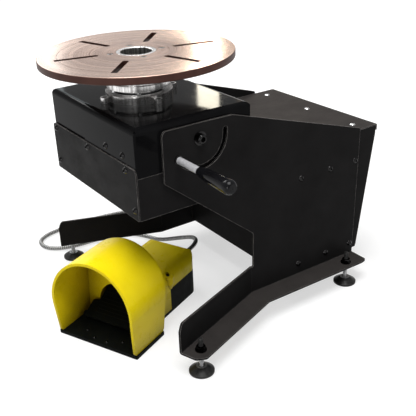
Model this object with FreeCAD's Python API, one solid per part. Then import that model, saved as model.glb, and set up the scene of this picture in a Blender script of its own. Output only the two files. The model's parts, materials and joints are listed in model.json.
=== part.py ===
"""Bench welding positioner: a tilting head with a slotted rotary table, carried between two folded
side plates in front of a control cabinet, with a hooded foot pedal on a metal conduit.

Millimetres. X = 0 is the mid-plane between the side plates, with the clamp handle towards +X. The
table's axis is the Z axis, the operator stands on the -Y side and Z = 0 is the floor.
"""
import FreeCAD, Part

import math
import os

V = FreeCAD.Vector
X_AXIS = V(1, 0, 0)
Y_AXIS = V(0, 1, 0)
Z_AXIS = V(0, 0, 1)

# ---- driving dimensions -------------------------------------------------------------------------

# fits and gaps
RUNNING_GAP = 0.05        # radial, shaft in its own bore
FIXED_GAP = 0.1           # between pieces bolted into each other
SKIN_GAP = 0.3            # between painted covers and what they close on

# table
TABLE_TOP_Z = 586.0
TABLE_R = 200.0
TABLE_T = 14.5
TABLE_EDGE = 1.2
SLOT_COUNT = 6
SLOT_W = 13.0
SLOT_R_IN = 78.0
SLOT_R_OUT = 167.0
SLOT_ANGLE = 16.2
RING_RADII = (93.5, 160.0)
RING_W = 0.8
RING_DEPTH = 0.5
TABLE_SCREW_R = 54.0
TABLE_SCREW_ANGLE = -14.4
DOWEL_R = 65.5
DOWEL_ANGLE = 67.5
DOWEL_HOLE_R = 2.5

# spindle, table hub and housing
BORE_R = 32.5
NOSE_R = 41.0
JOURNAL_R = 40.0
NECK_R = 47.0
FLANGE_R = 66.0
FLANGE_T = 12.0
HUB_NECK_R = 52.0
HUB_FLANGE_R = 70.0
HUB_FLANGE_T = 12.0
HOUSING_R = 65.0
HOUSING_RING_R = 69.5     # the bright ring that stands on the head
HOUSING_NOSE = 16.0       # how far the ring stands above the head
HOUSING_FLANGE_R = 92.0
HOUSING_FLANGE_T = 6.0
HOUSING_LEN = 85.0
HOUSING_BOLT_R = 79.5
HOUSING_BOLT_ANGLE = -1.5
HOUSING_BOLT_SHANK = 6.0
FLANGE_GAP = 9.0          # open gap between the housing ring and the spindle's flange
SPINDLE_END_Z = 322.0
BEARING_R = 55.0
BEARING_W = 16.0
BEARING_RACE = 5.0
BALL_R = 3.6
BALL_COUNT = 14

# drive
GEAR_MODULE = 2.5
GEAR_TEETH = 60
PINION_TEETH = 15
GEAR_W = 20.0
GEAR_Z = 345.0
GEAR_BACKLASH = 0.25
GEARBOX_R = 36.0
GEARBOX_H = 32.0
MOTOR_R = 27.0
MOTOR_LEN = 90.0
MOTOR_SHAFT_R = 8.0

# tilting head
HEAD_HALF_W = 184.5
HEAD_FRONT_Y = -120.2
HEAD_REAR_Y = 148.5
HEAD_BOTTOM_Z = 310.2
HEAD_TOP_Z = 494.0
HEAD_SPLIT_Z = 398.0
HEAD_SHEET = 2.0
HEAD_BEND_R = 13.0
COVER_SEAM_X = -30.0
COVER_STEP = 1.4          # the wide cover's edge laps over the narrow one by this much
FRONT_PANEL_T = 3.0
FRONT_PANEL_TOP_Z = 416.0
LOWER_PANEL_SCREWS = ((-172.0, 330.0), (172.0, 330.0))
UPPER_PANEL_SCREWS = ((-172.0, 405.5), (-17.0, 405.5), (145.0, 405.5))
COVER_FRONT_SCREWS = ((64.0, 431.0), (132.0, 431.0))
HEAD_SCREW_SHANK = 4.0
CARRIER_T = 12.0
CHEEK_T = 10.0
PIVOT_Y = 18.0
PIVOT_Z = 450.0
PIVOT_R = 10.0
PIVOT_HEAD_R = 10.0
PIVOT_HEAD_H = 9.0
PIVOT_WASHER_R = 14.0
PIVOT_WASHER_T = 2.0
BUSH_R = 13.0

# tilt clamp
CLAMP_R = 60.0            # radius of the curved slot about the pivot
CLAMP_ANGLE = 212.0       # where the clamp sits with the table level, from +Y towards +Z
CLAMP_SLOT_END = 365.0
CLAMP_SLOT_W = 11.0
CLAMP_STUD_R = 5.0
CLAMP_WASHER_R = 9.5
CLAMP_WASHER_T = 2.0
CLAMP_ROD_R = 7.0
CLAMP_ROD_LEN = 68.0
GRIP_LEN = 103.0
GRIP_R_IN = 9.0
GRIP_R_OUT = 14.5
GRIP_BORE_R = 4.0
GRIP_BORE_DEPTH = 60.0

# side plates
PLATE_OUT_X = 193.3
PLATE_T = 4.5
PLATE_BOTTOM_Z = 49.0
PLATE_REAR_Y = 453.5
PLATE_REAR_TOP_Z = 371.0
PLATE_RIDGE_Y = 96.0
PLATE_TOP_Z = 480.0
LOBE_FRONT_Y = -66.5
LOBE_BOTTOM_Z = 376.5
WEB_FRONT_Y = 147.6
WEB_FRONT_TOP_Z = 202.0
LEG_BEND_Y = 142.0
LEG_SPLAY = 20.4          # degrees, how far each front leg turns outwards
LEG_LEN = 268.0
LEG_TOP_Z = 120.5
FOLD_R = 6.0              # outside radius of the fold between web and foot flange
FOOT_FLANGE_W = 52.0      # from the web's outer face to the flange's edge
FRONT_FOOT = (300.75, -70.0)
REAR_FOOT = (223.65, 404.0)

# cabinet
CABINET_HALF_W = 187.5
CABINET_FRONT_Y = 237.0
CABINET_TOP_Z = 366.0
CABINET_TOP_REAR_Y = 511.0
CABINET_BOTTOM_Z = 60.0
CABINET_BOTTOM_REAR_Y = 470.0
CABINET_SHEET = 2.0
COVER_T = 2.0
COVER_LIP_H = 14.0        # how far the cover folds down over the back
COVER_SCREW_X = 155.0
COVER_SCREW_REAR_Y = 467.0
COVER_SCREW_FRONT_Y = 262.0
COVER_SCREW_SHANK = 3.5
PLATE_SCREW_YS = (281.0, 366.5, 444.0)
PLATE_SCREW_ZS = (80.0, 295.0)

# levelling feet
PAD_R = 26.5
PAD_H = 15.0
STUD_R = 5.0
STUD_TOP_Z = 82.0
NUT_FLATS = 17.0
NUT_H = 8.0
FOOT_WASHER_R = 12.0
FOOT_WASHER_T = 2.5

# pedal, in its own frame: u across, v from the toe opening to the cable end
PEDAL_ORIGIN = (94.0, -202.8)
PEDAL_YAW = 24.75
HOOD_HALF_W = 107.0
HOOD_SPRING_Z = 95.0      # height where the straight sides turn into the arch
HOOD_LEN = 105.0
HOOD_LEAN = 23.0          # how far the hood's back edge runs rearwards at its crown
HOOD_T = 6.0
TRAY_HALF_W = 104.0
TRAY_T = 8.0
BODY_HALF_W = 72.0
BODY_SIDE_START = 187.0
BODY_END = 306.0
BODY_SPLIT_Z = 62.0
BODY_TOP_Z = 108.0
BODY_WALL = 4.0
BODY_CORNER_R = 30.0
BODY_EDGE_R = 30.0
BODY_CREST_START = 212.0
NECK_DROP = 14.0
HOOD_STEP = 7.0
BOSS_X = 65.0
BOSS_R = 14.0
BOSS_TOP_Z = 95.0
TRAY_SCREWS = ((48.0, 28.0), (17.0, 12.0))
TREADLE_HALF_W = 80.0
TREADLE_REAR = 170.0
TREADLE_WIDE_END = 105.0
TREADLE_T = 6.0
TREADLE_TILT = 30.0
TREADLE_TRAVEL = 6.0
TREADLE_PIN_R = 3.0
TREADLE_PIN_Y = 70.0
TREADLE_PIN_Z = 16.5
TREADLE_SPRING_Y = 122.0
TREADLE_SWITCH_Y = 146.0
MOUTH_R = 48.0            # corner radius of the opening from the hood into the neck

# conduit
CONDUIT_R = 4.0
GLAND_R = 9.0
GLAND_LEN = 18.0
PEDAL_GLAND_U = 34.0
PEDAL_GLAND_Z = 84.0

# rear panel, as (x, height up the panel)
REAR_PANEL_T = 2.0
REAR_PANEL_GAP = 3.0      # between the panel's top edge and the cover's lip
GLAND_PLACE = (-60.0, 52.0)
GLAND_THREAD_R = 7.0
EARTH_PLACE = (-130.0, 60.0)
EARTH_R = 13.0
EARTH_BORE_R = 6.5
INLET_PLACE = (115.0, 50.0)
INLET_HALF_W = 15.0
INLET_HALF_H = 12.0
ROCKER_PLACE = (115.0, 100.0)
ROCKER_HALF_W = 11.0
ROCKER_HALF_H = 15.0
ROCKER_AXIS_OUT = -1.0
ROCKER_TILT = 9.0
KNOB_PLACE = (40.0, 200.0)
TOGGLE_PLACE = (-50.0, 200.0)
TOGGLE_BALL_OUT = 2.0
CONTROL_BUSH_R = 5.5
CONTROL_STEM_R = 3.0

# ---- sizes that follow ---------------------------------------------------------------------------

HOUSING_TOP_Z = HEAD_TOP_Z + HOUSING_NOSE
HOUSING_END_Z = HOUSING_TOP_Z - HOUSING_LEN
SPINDLE_FLANGE_Z = HOUSING_TOP_Z + FLANGE_GAP
HUB_Z = SPINDLE_FLANGE_Z + FLANGE_T
TABLE_BOTTOM_Z = TABLE_TOP_Z - TABLE_T
BEARING_TOP_Z = HOUSING_TOP_Z - 6.0 - BEARING_W
BEARING_LOW_Z = HOUSING_END_Z + 6.0
SHOULDER_Z = BEARING_TOP_Z + BEARING_W + SKIN_GAP
GEAR_R = GEAR_MODULE * GEAR_TEETH / 2
PINION_R = GEAR_MODULE * PINION_TEETH / 2
PINION_Y = GEAR_R + PINION_R
CARRIER_TOP_Z = HEAD_TOP_Z - HEAD_SHEET - COVER_STEP
CARRIER_Z = CARRIER_TOP_Z - CARRIER_T
HOUSING_FLANGE_Z = CARRIER_TOP_Z - HOUSING_FLANGE_T
HEAD_INNER_W = HEAD_HALF_W - HEAD_SHEET
PLATE_IN_X = PLATE_OUT_X - PLATE_T
CLAMP_ROD_X = PLATE_OUT_X + SKIN_GAP + CLAMP_WASHER_T + 2 * FIXED_GAP
CHEEK_OUT_X = HEAD_INNER_W - COVER_STEP
CHEEK_IN_X = CHEEK_OUT_X - CHEEK_T
CLAMP_Y = PIVOT_Y + CLAMP_R * math.cos(math.radians(CLAMP_ANGLE))
CLAMP_Z = PIVOT_Z + CLAMP_R * math.sin(math.radians(CLAMP_ANGLE))
CABINET_LEAN = (CABINET_TOP_REAR_Y - CABINET_BOTTOM_REAR_Y) / (CABINET_TOP_Z - CABINET_BOTTOM_Z)
LIP_BOTTOM_Z = CABINET_TOP_Z - COVER_LIP_H
REAR_PANEL_H = (LIP_BOTTOM_Z - REAR_PANEL_GAP - CABINET_BOTTOM_Z) * math.hypot(1, CABINET_LEAN)


# ---- helpers -------------------------------------------------------------------------------------

def box(x0, x1, y0, y1, z0, z1):
    return Part.makeBox(x1 - x0, y1 - y0, z1 - z0, V(x0, y0, z0))


def cyl(r, h, base, axis=Z_AXIS):
    return Part.makeCylinder(r, h, base, axis)


def tube(r_out, r_in, h, base, axis=Z_AXIS):
    return cyl(r_out, h, base, axis).cut(cyl(r_in, h, base, axis))


def fused(shapes):
    """One body out of overlapping shapes, with the seams between them removed."""
    first, *rest = shapes
    return first.fuse(rest).removeSplitter() if rest else first


def grouped(shapes):
    """Separate solids kept together as one sub-part."""
    solids = []
    for shape in shapes:
        solids.extend(shape.Solids)
    return Part.makeCompound(solids)


def polar(r, degrees, z=0.0):
    a = math.radians(degrees)
    return V(r * math.cos(a), r * math.sin(a), z)


def outline(corners, place):
    """Closed wire through (a, b, radius) corners, each rounded by its radius, at the points place makes."""
    edges = []
    starts = []
    ends = []
    arcs = []
    count = len(corners)
    for i, (a, b, r) in enumerate(corners):
        here = V(a, b, 0)
        before = V(*corners[i - 1][:2], 0)
        after = V(*corners[(i + 1) % count][:2], 0)
        to_before = (before - here).normalize()
        to_after = (after - here).normalize()
        if r <= 0:
            starts.append(here)
            ends.append(here)
            arcs.append(None)
            continue
        half = to_before.getAngle(to_after) / 2
        run = r / math.tan(half)
        starts.append(here + to_before * run)
        ends.append(here + to_after * run)
        centre = here + (to_before + to_after).normalize() * (r / math.sin(half))
        arcs.append(centre + (here - centre).normalize() * r)
    for i in range(count):
        if arcs[i] is not None:
            edges.append(Part.Arc(place(starts[i]), place(arcs[i]), place(ends[i])).toShape())
        following = starts[(i + 1) % count]
        if (following - ends[i]).Length > 1e-6:
            edges.append(Part.makeLine(place(ends[i]), place(following)))
    return Part.Wire(edges)


def slab(corners, place, along):
    """Plate with a rounded outline, thick by the vector along."""
    return Part.Face(outline(corners, place)).extrude(along)


def flat_xy(z):
    return lambda p: V(p.x, p.y, z)


def side_yz(x):
    return lambda p: V(x, p.x, p.y)


def front_xz(y):
    return lambda p: V(p.x, y, p.y)


def turned(profile, base=V(0, 0, 0), axis=Z_AXIS):
    """Solid of revolution from (radius, height) points, standing at base and rising along axis."""
    points = [V(r, 0, h) for r, h in profile]
    face = Part.Face(Part.makePolygon(points + points[:1]))
    solid = face.revolve(V(0, 0, 0), Z_AXIS, 360)
    solid.Placement = FreeCAD.Placement(base, FreeCAD.Rotation(Z_AXIS, axis))
    return solid


def mirrored(shape):
    return shape.mirror(V(0, 0, 0), X_AXIS)


def hexagon(flats, h, base, axis=Z_AXIS):
    r = flats / math.sqrt(3)
    points = [polar(r, 60 * i) for i in range(6)]
    prism = Part.Face(Part.makePolygon(points + points[:1])).extrude(V(0, 0, h))
    prism.Placement = FreeCAD.Placement(base, FreeCAD.Rotation(Z_AXIS, axis))
    return prism


def socket_screw(r, length, seat, axis):
    """Cap screw whose head stands on seat, pointing along axis, with its shank going the other way."""
    head_r = 1.5 * r
    head = cyl(head_r, 2 * r, seat, axis)
    socket = hexagon(1.6 * r, 1.1 * r, seat + axis * (0.95 * r), axis)
    shank = cyl(r, length, seat - axis * length, axis)
    return fused([head.cut(socket), shank])


def button_screw(r, length, seat, axis):
    """Button-head screw with a domed head on seat, and its shank going the other way."""
    head_r = 1.8 * r
    head_h = 1.1 * r
    ball_r = (head_r ** 2 + head_h ** 2) / (2 * head_h)
    dome = Part.makeSphere(ball_r, seat + axis * (head_h - ball_r))
    head = cyl(head_r, head_h, seat, axis).common(dome)
    socket = hexagon(1.2 * r, 0.7 * r, seat + axis * (0.45 * r), axis)
    shank = cyl(r, length, seat - axis * length, axis)
    return fused([head.cut(socket), shank])


def gear(teeth, bore_r, width, base, phase):
    """Spur gear with involute flanks, thinned at the pitch circle by the backlash."""
    pitch_r = GEAR_MODULE * teeth / 2
    base_r = pitch_r * math.cos(math.radians(20))
    tip_r = pitch_r + GEAR_MODULE * 0.95
    root_r = pitch_r - GEAR_MODULE * 1.2
    start_r = max(base_r, root_r)

    def involute(r):
        roll = math.sqrt(max((r / base_r) ** 2 - 1, 0))
        return roll - math.atan(roll)

    half = (math.pi / 2 - GEAR_BACKLASH / GEAR_MODULE) / teeth + involute(pitch_r)
    flank = [start_r, (start_r + tip_r) / 2, tip_r]
    points = []
    for i in range(teeth):
        middle = phase + 2 * math.pi * i / teeth
        left = [(r, middle - half + involute(r)) for r in flank]
        right = [(r, middle + half - involute(r)) for r in reversed(flank)]
        foot = [(root_r, left[0][1])] if root_r < start_r else []
        foot_out = [(root_r, right[-1][1])] if root_r < start_r else []
        for r, a in foot + left + right + foot_out:
            points.append(V(r * math.cos(a), r * math.sin(a), 0))
    blank = Part.Face(Part.makePolygon(points + points[:1])).extrude(V(0, 0, width))
    blank.translate(base)
    return blank.cut(cyl(bore_r, width, base))


# ---- table and spindle ---------------------------------------------------------------------------

def table_disc():
    rim = TABLE_R - TABLE_EDGE
    top = TABLE_TOP_Z
    disc = turned([
        (NOSE_R + FIXED_GAP, TABLE_BOTTOM_Z), (rim, TABLE_BOTTOM_Z),
        (TABLE_R, TABLE_BOTTOM_Z + TABLE_EDGE), (TABLE_R, top - TABLE_EDGE),
        (rim, top), (NOSE_R + FIXED_GAP, top)])
    for r in RING_RADII:
        disc = disc.cut(tube(r + RING_W / 2, r - RING_W / 2, RING_DEPTH, V(0, 0, top - RING_DEPTH)))
    for i in range(SLOT_COUNT):
        half = SLOT_W / 2
        slot = slab([(SLOT_R_IN, -half, half * 0.99), (SLOT_R_OUT, -half, 1.5),
                     (SLOT_R_OUT, half, 1.5), (SLOT_R_IN, half, half * 0.99)],
                    flat_xy(TABLE_BOTTOM_Z), V(0, 0, TABLE_T))
        slot.rotate(V(0, 0, 0), Z_AXIS, SLOT_ANGLE + 360 / SLOT_COUNT * i)
        disc = disc.cut(slot)
    for seat in table_screw_seats():
        disc = disc.cut(cyl(6.8, 8.5, seat)).cut(cyl(4.3, TABLE_T, V(seat.x, seat.y, TABLE_BOTTOM_Z)))
    return disc.cut(cyl(DOWEL_HOLE_R, TABLE_T, polar(DOWEL_R, DOWEL_ANGLE, TABLE_BOTTOM_Z)))


def table_screw_seats():
    return [polar(TABLE_SCREW_R, TABLE_SCREW_ANGLE + 90 * i, TABLE_TOP_Z - 8.5) for i in range(4)]


def table_screws():
    return grouped([socket_screw(4.0, 17.0, seat, Z_AXIS) for seat in table_screw_seats()])


def table_hub():
    """Spool between the spindle's flange and the table, with the nose that centres the table."""
    hub = turned([
        (BORE_R, HUB_Z), (FLANGE_R - 4, HUB_Z), (FLANGE_R - 4, HUB_Z + 10), (HUB_NECK_R, HUB_Z + 14),
        (HUB_NECK_R, TABLE_BOTTOM_Z - HUB_FLANGE_T), (HUB_FLANGE_R, TABLE_BOTTOM_Z - HUB_FLANGE_T),
        (HUB_FLANGE_R, TABLE_BOTTOM_Z), (NOSE_R, TABLE_BOTTOM_Z), (NOSE_R, TABLE_TOP_Z - 0.6),
        (NOSE_R - 0.6, TABLE_TOP_Z), (BORE_R + 1, TABLE_TOP_Z), (BORE_R, TABLE_TOP_Z - 1)])
    for seat in table_screw_seats():
        hub = hub.cut(cyl(4.0 + FIXED_GAP, 12, V(seat.x, seat.y, TABLE_BOTTOM_Z - 12)))
    for seat in flange_screw_seats():
        hub = hub.cut(cyl(3.0 + FIXED_GAP, 9, V(seat.x, seat.y, HUB_Z)))
    return hub


def flange_screw_seats():
    return [polar(FLANGE_R - 8, 30 + 60 * i, SPINDLE_FLANGE_Z) for i in range(6)]


def flange_screws():
    return grouped([socket_screw(3.0, FLANGE_T + 8, seat, V(0, 0, -1)) for seat in flange_screw_seats()])


def spindle():
    shaft = turned([
        (BORE_R, SPINDLE_END_Z), (JOURNAL_R - 1, SPINDLE_END_Z), (JOURNAL_R, SPINDLE_END_Z + 1),
        (JOURNAL_R, SHOULDER_Z), (NECK_R, SHOULDER_Z), (NECK_R, SPINDLE_FLANGE_Z),
        (FLANGE_R, SPINDLE_FLANGE_Z), (FLANGE_R, HUB_Z - 1), (FLANGE_R - 1, HUB_Z), (BORE_R, HUB_Z)])
    for seat in flange_screw_seats():
        shaft = shaft.cut(cyl(3.0 + FIXED_GAP, FLANGE_T, seat))
    return shaft


def spindle_gear():
    wheel = gear(GEAR_TEETH, JOURNAL_R + FIXED_GAP, GEAR_W, V(0, 0, GEAR_Z), math.pi / 2)
    collar = tube(JOURNAL_R + 9, JOURNAL_R + FIXED_GAP, 12, V(0, 0, GEAR_Z + GEAR_W))
    return fused([wheel, collar])


def spindle_locknut():
    z = BEARING_LOW_Z - 12 - SKIN_GAP
    nut = tube(JOURNAL_R + 10, JOURNAL_R + FIXED_GAP, 12, V(0, 0, z))
    for i in range(4):
        key = box(JOURNAL_R + 6, JOURNAL_R + 11, -4, 4, z, z + 12)
        key.rotate(V(0, 0, 0), Z_AXIS, 90 * i)
        nut = nut.cut(key)
    return nut


def pinion():
    phase = -math.pi / 2 + math.pi / PINION_TEETH
    wheel = gear(PINION_TEETH, 5.0, GEAR_W + 4, V(0, 0, GEAR_Z - 2), phase)
    shaft = turned([(0, GEAR_Z - 8), (5, GEAR_Z - 8), (5, GEAR_Z + GEAR_W + 2),
                    (MOTOR_SHAFT_R, GEAR_Z + GEAR_W + 2), (MOTOR_SHAFT_R, CARRIER_Z - MOTOR_LEN + 29),
                    (0, CARRIER_Z - MOTOR_LEN + 29)])
    whole = fused([wheel, shaft])
    whole.translate(V(0, PINION_Y, 0))
    return whole


# ---- tilting head --------------------------------------------------------------------------------

def bearing_housing():
    top = HOUSING_TOP_Z
    low = HOUSING_END_Z
    inner = BEARING_R - 4
    housing = turned([
        (BEARING_R, low), (HOUSING_R, low), (HOUSING_R, HOUSING_FLANGE_Z),
        (HOUSING_FLANGE_R, HOUSING_FLANGE_Z), (HOUSING_FLANGE_R, CARRIER_TOP_Z),
        (HOUSING_RING_R, CARRIER_TOP_Z), (HOUSING_RING_R, top - 1), (HOUSING_RING_R - 1, top),
        (BEARING_R, top), (BEARING_R, BEARING_TOP_Z), (inner, BEARING_TOP_Z),
        (inner, BEARING_LOW_Z + BEARING_W), (BEARING_R, BEARING_LOW_Z + BEARING_W)])
    for seat in housing_bolt_seats():
        housing = housing.cut(bolt_hole(HOUSING_BOLT_SHANK, seat, HEAD_TOP_Z))
    return housing


def housing_bolt_seats():
    """On the cover's skin, which is lower on its narrow part."""
    seats = []
    for i in range(4):
        seat = polar(HOUSING_BOLT_R, 90 * i + HOUSING_BOLT_ANGLE)
        seat.z = HEAD_TOP_Z - (COVER_STEP if seat.x < COVER_SEAM_X else 0)
        seats.append(seat)
    return seats


def bolt_hole(r, seat, top):
    return cyl(r + FIXED_GAP, top - CARRIER_Z, V(seat.x, seat.y, CARRIER_Z))


def housing_bolts():
    length = CARRIER_TOP_Z - HOUSING_FLANGE_T - CARRIER_Z
    return grouped([socket_screw(HOUSING_BOLT_SHANK, seat.z - CARRIER_Z - length / 2, seat, Z_AXIS)
                    for seat in housing_bolt_seats()])


def housing_seal():
    z = BEARING_TOP_Z + BEARING_W + 0.5
    return tube(BEARING_R - FIXED_GAP, NECK_R + SKIN_GAP, HOUSING_TOP_Z - z, V(0, 0, z))


def bearing(z):
    """Thin ball bearing: two grooved races with a ring of balls between them."""
    r_in = JOURNAL_R + RUNNING_GAP
    r_out = BEARING_R - FIXED_GAP
    middle = (r_in + r_out) / 2
    centre = V(0, 0, z + BEARING_W / 2)
    groove = Part.makeTorus(middle, BALL_R + 0.1, centre)
    outer = tube(r_out, r_out - BEARING_RACE, BEARING_W, V(0, 0, z)).cut(groove)
    inner = tube(r_in + BEARING_RACE, r_in, BEARING_W, V(0, 0, z)).cut(groove)
    balls = []
    for i in range(BALL_COUNT):
        balls.append(Part.makeSphere(BALL_R, polar(middle, 360 / BALL_COUNT * i, centre.z)))
    return grouped([outer, inner] + balls)


def carrier_frame():
    """Welded inner frame: the thick top plate and the two cheeks that take the pivot bolts."""
    top = box(-CHEEK_OUT_X, CHEEK_OUT_X, HEAD_FRONT_Y + 18, HEAD_REAR_Y - 18, CARRIER_Z, CARRIER_TOP_Z)
    top = top.cut(cyl(HOUSING_R + FIXED_GAP, CARRIER_T, V(0, 0, CARRIER_Z)))
    top = top.cut(cyl(HOUSING_FLANGE_R + FIXED_GAP, CARRIER_T, V(0, 0, HOUSING_FLANGE_Z - 0.05)))
    for seat in housing_bolt_seats():
        top = top.cut(bolt_hole(HOUSING_BOLT_SHANK, seat, HEAD_TOP_Z))
    cheek = slab([(-90, CARRIER_TOP_Z, 4), (110, CARRIER_TOP_Z, 4), (110, 425, 12),
                  (70, 385, 12), (-50, 385, 12), (-90, 405, 12)],
                 side_yz(CHEEK_IN_X), V(CHEEK_T, 0, 0))
    cheek = cheek.cut(cyl(PIVOT_R + FIXED_GAP, CHEEK_T, V(CHEEK_IN_X, PIVOT_Y, PIVOT_Z), X_AXIS))
    left = mirrored(cheek)
    right = cheek.cut(cyl(CLAMP_STUD_R + RUNNING_GAP, CHEEK_T, V(CHEEK_IN_X, CLAMP_Y, CLAMP_Z), X_AXIS))
    room = head_shell_block(HEAD_SHEET + COVER_STEP, HEAD_BOTTOM_Z, CARRIER_TOP_Z)
    return fused([top, right, left]).common(room)


def head_shell_block(inset, z0, z1):
    """The head's outer block with its big bend radii, made smaller by inset on every face."""
    w = HEAD_HALF_W - inset
    y0 = HEAD_FRONT_Y + inset
    y1 = HEAD_REAR_Y - inset
    r = max(HEAD_BEND_R - inset, 0.5)
    corner = 4.0
    block = slab([(-w, y0, corner), (w, y0, corner), (w, y1, corner), (-w, y1, corner)],
                 flat_xy(z0), V(0, 0, z1 - z0))
    lengthwise = slab([(-w, z0, 0), (w, z0, 0), (w, z1, r), (-w, z1, r)],
                      front_xz(y0 - 1), V(0, y1 - y0 + 2, 0))
    crosswise = slab([(y0, z0, 0), (y1, z0, 0), (y1, z1, r), (y0, z1, r)],
                     side_yz(-w - 1), V(2 * w + 2, 0, 0))
    return block.common(lengthwise).common(crosswise)


def head_cover(inset):
    """The bent cover before it is parted at its seam, inset from the head's outer faces."""
    outer = head_shell_block(inset, HEAD_SPLIT_Z, HEAD_TOP_Z - inset)
    inner = head_shell_block(inset + HEAD_SHEET, HEAD_SPLIT_Z, HEAD_TOP_Z - inset - HEAD_SHEET)
    cover = outer.cut(inner)
    cover = cover.cut(cyl(HOUSING_RING_R + FIXED_GAP, 20, V(0, 0, HEAD_TOP_Z - 10)))
    for seat in housing_bolt_seats():
        cover = cover.cut(bolt_hole(HOUSING_BOLT_SHANK, seat, HEAD_TOP_Z + 1))
    pivot_hole = cyl(PIVOT_R + 2, 2 * HEAD_HALF_W + 2, V(-HEAD_HALF_W - 1, PIVOT_Y, PIVOT_Z), X_AXIS)
    clamp_hole = cyl(CLAMP_STUD_R + 1, 20, V(HEAD_HALF_W - 10, CLAMP_Y, CLAMP_Z), X_AXIS)
    cover = cover.cut(pivot_hole).cut(clamp_hole)
    for seat in head_screw_seats():
        cover = cover.cut(cyl(HEAD_SCREW_SHANK + FIXED_GAP, 20, V(seat.x, HEAD_FRONT_Y - 10, seat.z), Y_AXIS))
    relief_r = 1.8
    for sx in (-1, 1):
        corner = V(sx * (HEAD_HALF_W - 3.4), HEAD_FRONT_Y + 3.4, HEAD_TOP_Z - 12)
        cover = cover.cut(cyl(relief_r, 14, corner))
    return cover


def head_cover_right():
    """The wide part of the cover; its edge stands proud where it laps the narrow part."""
    keep = box(COVER_SEAM_X, HEAD_HALF_W + 1, HEAD_FRONT_Y - 1, HEAD_REAR_Y + 1,
               HEAD_SPLIT_Z - 1, HEAD_TOP_Z + 1)
    return head_cover(0).common(keep)


def head_cover_left():
    """The narrow part of the cover, set in by the step so that the wide part's edge shows."""
    keep = box(-HEAD_HALF_W - 1, COVER_SEAM_X - SKIN_GAP, HEAD_FRONT_Y - 1, HEAD_REAR_Y + 1,
               HEAD_SPLIT_Z - 1, HEAD_TOP_Z + 1)
    return head_cover(COVER_STEP).common(keep)


def head_tub():
    """Lower housing: an open-topped folded tray with the hole that the spindle's bore leads to."""
    z1 = HEAD_SPLIT_Z - SKIN_GAP
    w = HEAD_HALF_W
    y0 = HEAD_FRONT_Y
    y1 = HEAD_REAR_Y
    r = 3.0
    outer = slab([(-w, y0, r), (w, y0, r), (w, y1, r), (-w, y1, r)], flat_xy(HEAD_BOTTOM_Z),
                 V(0, 0, z1 - HEAD_BOTTOM_Z))
    t = HEAD_SHEET
    inner = slab([(-w + t, y0 + t, 1), (w - t, y0 + t, 1), (w - t, y1 - t, 1), (-w + t, y1 - t, 1)],
                 flat_xy(HEAD_BOTTOM_Z + t), V(0, 0, z1 - HEAD_BOTTOM_Z))
    tub = outer.cut(inner).cut(cyl(BORE_R + 4, 20, V(0, 0, HEAD_BOTTOM_Z - 10)))
    rail = box(-w + t, w - t, y0 + t, y0 + t + 14, z1 - 3, z1)
    rails = [rail, box(-w + t, w - t, y1 - t - 14, y1 - t, z1 - 3, z1)]
    tub = fused([tub] + rails)
    for x, z in LOWER_PANEL_SCREWS:
        tub = tub.cut(cyl(HEAD_SCREW_SHANK + FIXED_GAP, 20, V(x, HEAD_FRONT_Y - 10, z), Y_AXIS))
    return tub


def head_screw_seats():
    """Where screws pass through the front of the bent cover: two on it, three through the front panel."""
    on_cover = [V(x, HEAD_FRONT_Y, z) for x, z in COVER_FRONT_SCREWS]
    on_panel = [V(x, HEAD_FRONT_Y - FRONT_PANEL_T, z) for x, z in UPPER_PANEL_SCREWS]
    return on_cover + on_panel


def head_front_panel():
    w = HEAD_HALF_W
    y = HEAD_FRONT_Y - FRONT_PANEL_T
    panel = slab([(-w, HEAD_BOTTOM_Z, 2), (w, HEAD_BOTTOM_Z, 2),
                  (w, FRONT_PANEL_TOP_Z, 9), (-w, FRONT_PANEL_TOP_Z, 9)],
                 front_xz(y), V(0, FRONT_PANEL_T - 0.05, 0))
    for x, z in UPPER_PANEL_SCREWS + LOWER_PANEL_SCREWS:
        panel = panel.cut(cyl(HEAD_SCREW_SHANK + FIXED_GAP, 20, V(x, y - 10, z), Y_AXIS))
    return panel


def head_screws():
    forward = V(0, -1, 0)
    seats = head_screw_seats()
    seats += [V(x, HEAD_FRONT_Y - FRONT_PANEL_T, z) for x, z in LOWER_PANEL_SCREWS]
    return grouped([button_screw(HEAD_SCREW_SHANK, 9.0, seat, forward) for seat in seats])


def pivot_bolts():
    """Shoulder bolts that the head turns on, screwed into the cheeks from outside the side plates."""
    seat = V(PLATE_OUT_X + 2 * FIXED_GAP + PIVOT_WASHER_T, PIVOT_Y, PIVOT_Z)
    head = turned([(0, 0), (PIVOT_HEAD_R, 0), (PIVOT_HEAD_R, PIVOT_HEAD_H - 2),
                   (PIVOT_HEAD_R - 2, PIVOT_HEAD_H), (0, PIVOT_HEAD_H)], seat, X_AXIS)
    socket = hexagon(PIVOT_HEAD_R, PIVOT_HEAD_H - 2, seat + X_AXIS * 3, X_AXIS)
    shank = cyl(PIVOT_R, seat.x - CHEEK_IN_X, V(CHEEK_IN_X, PIVOT_Y, PIVOT_Z), X_AXIS)
    washer = cyl(PIVOT_WASHER_R, PIVOT_WASHER_T, seat - X_AXIS * PIVOT_WASHER_T, X_AXIS)
    right = fused([head.cut(socket), shank, washer])
    return grouped([right, mirrored(right)])


def thrust_washers():
    """Friction rings between the head's sides and the side plates."""
    x = HEAD_HALF_W + 0.05
    ring = tube(24.0, PIVOT_R + 1, PLATE_IN_X - x - SKIN_GAP, V(x, PIVOT_Y, PIVOT_Z), X_AXIS)
    return grouped([ring, mirrored(ring)])


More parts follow.
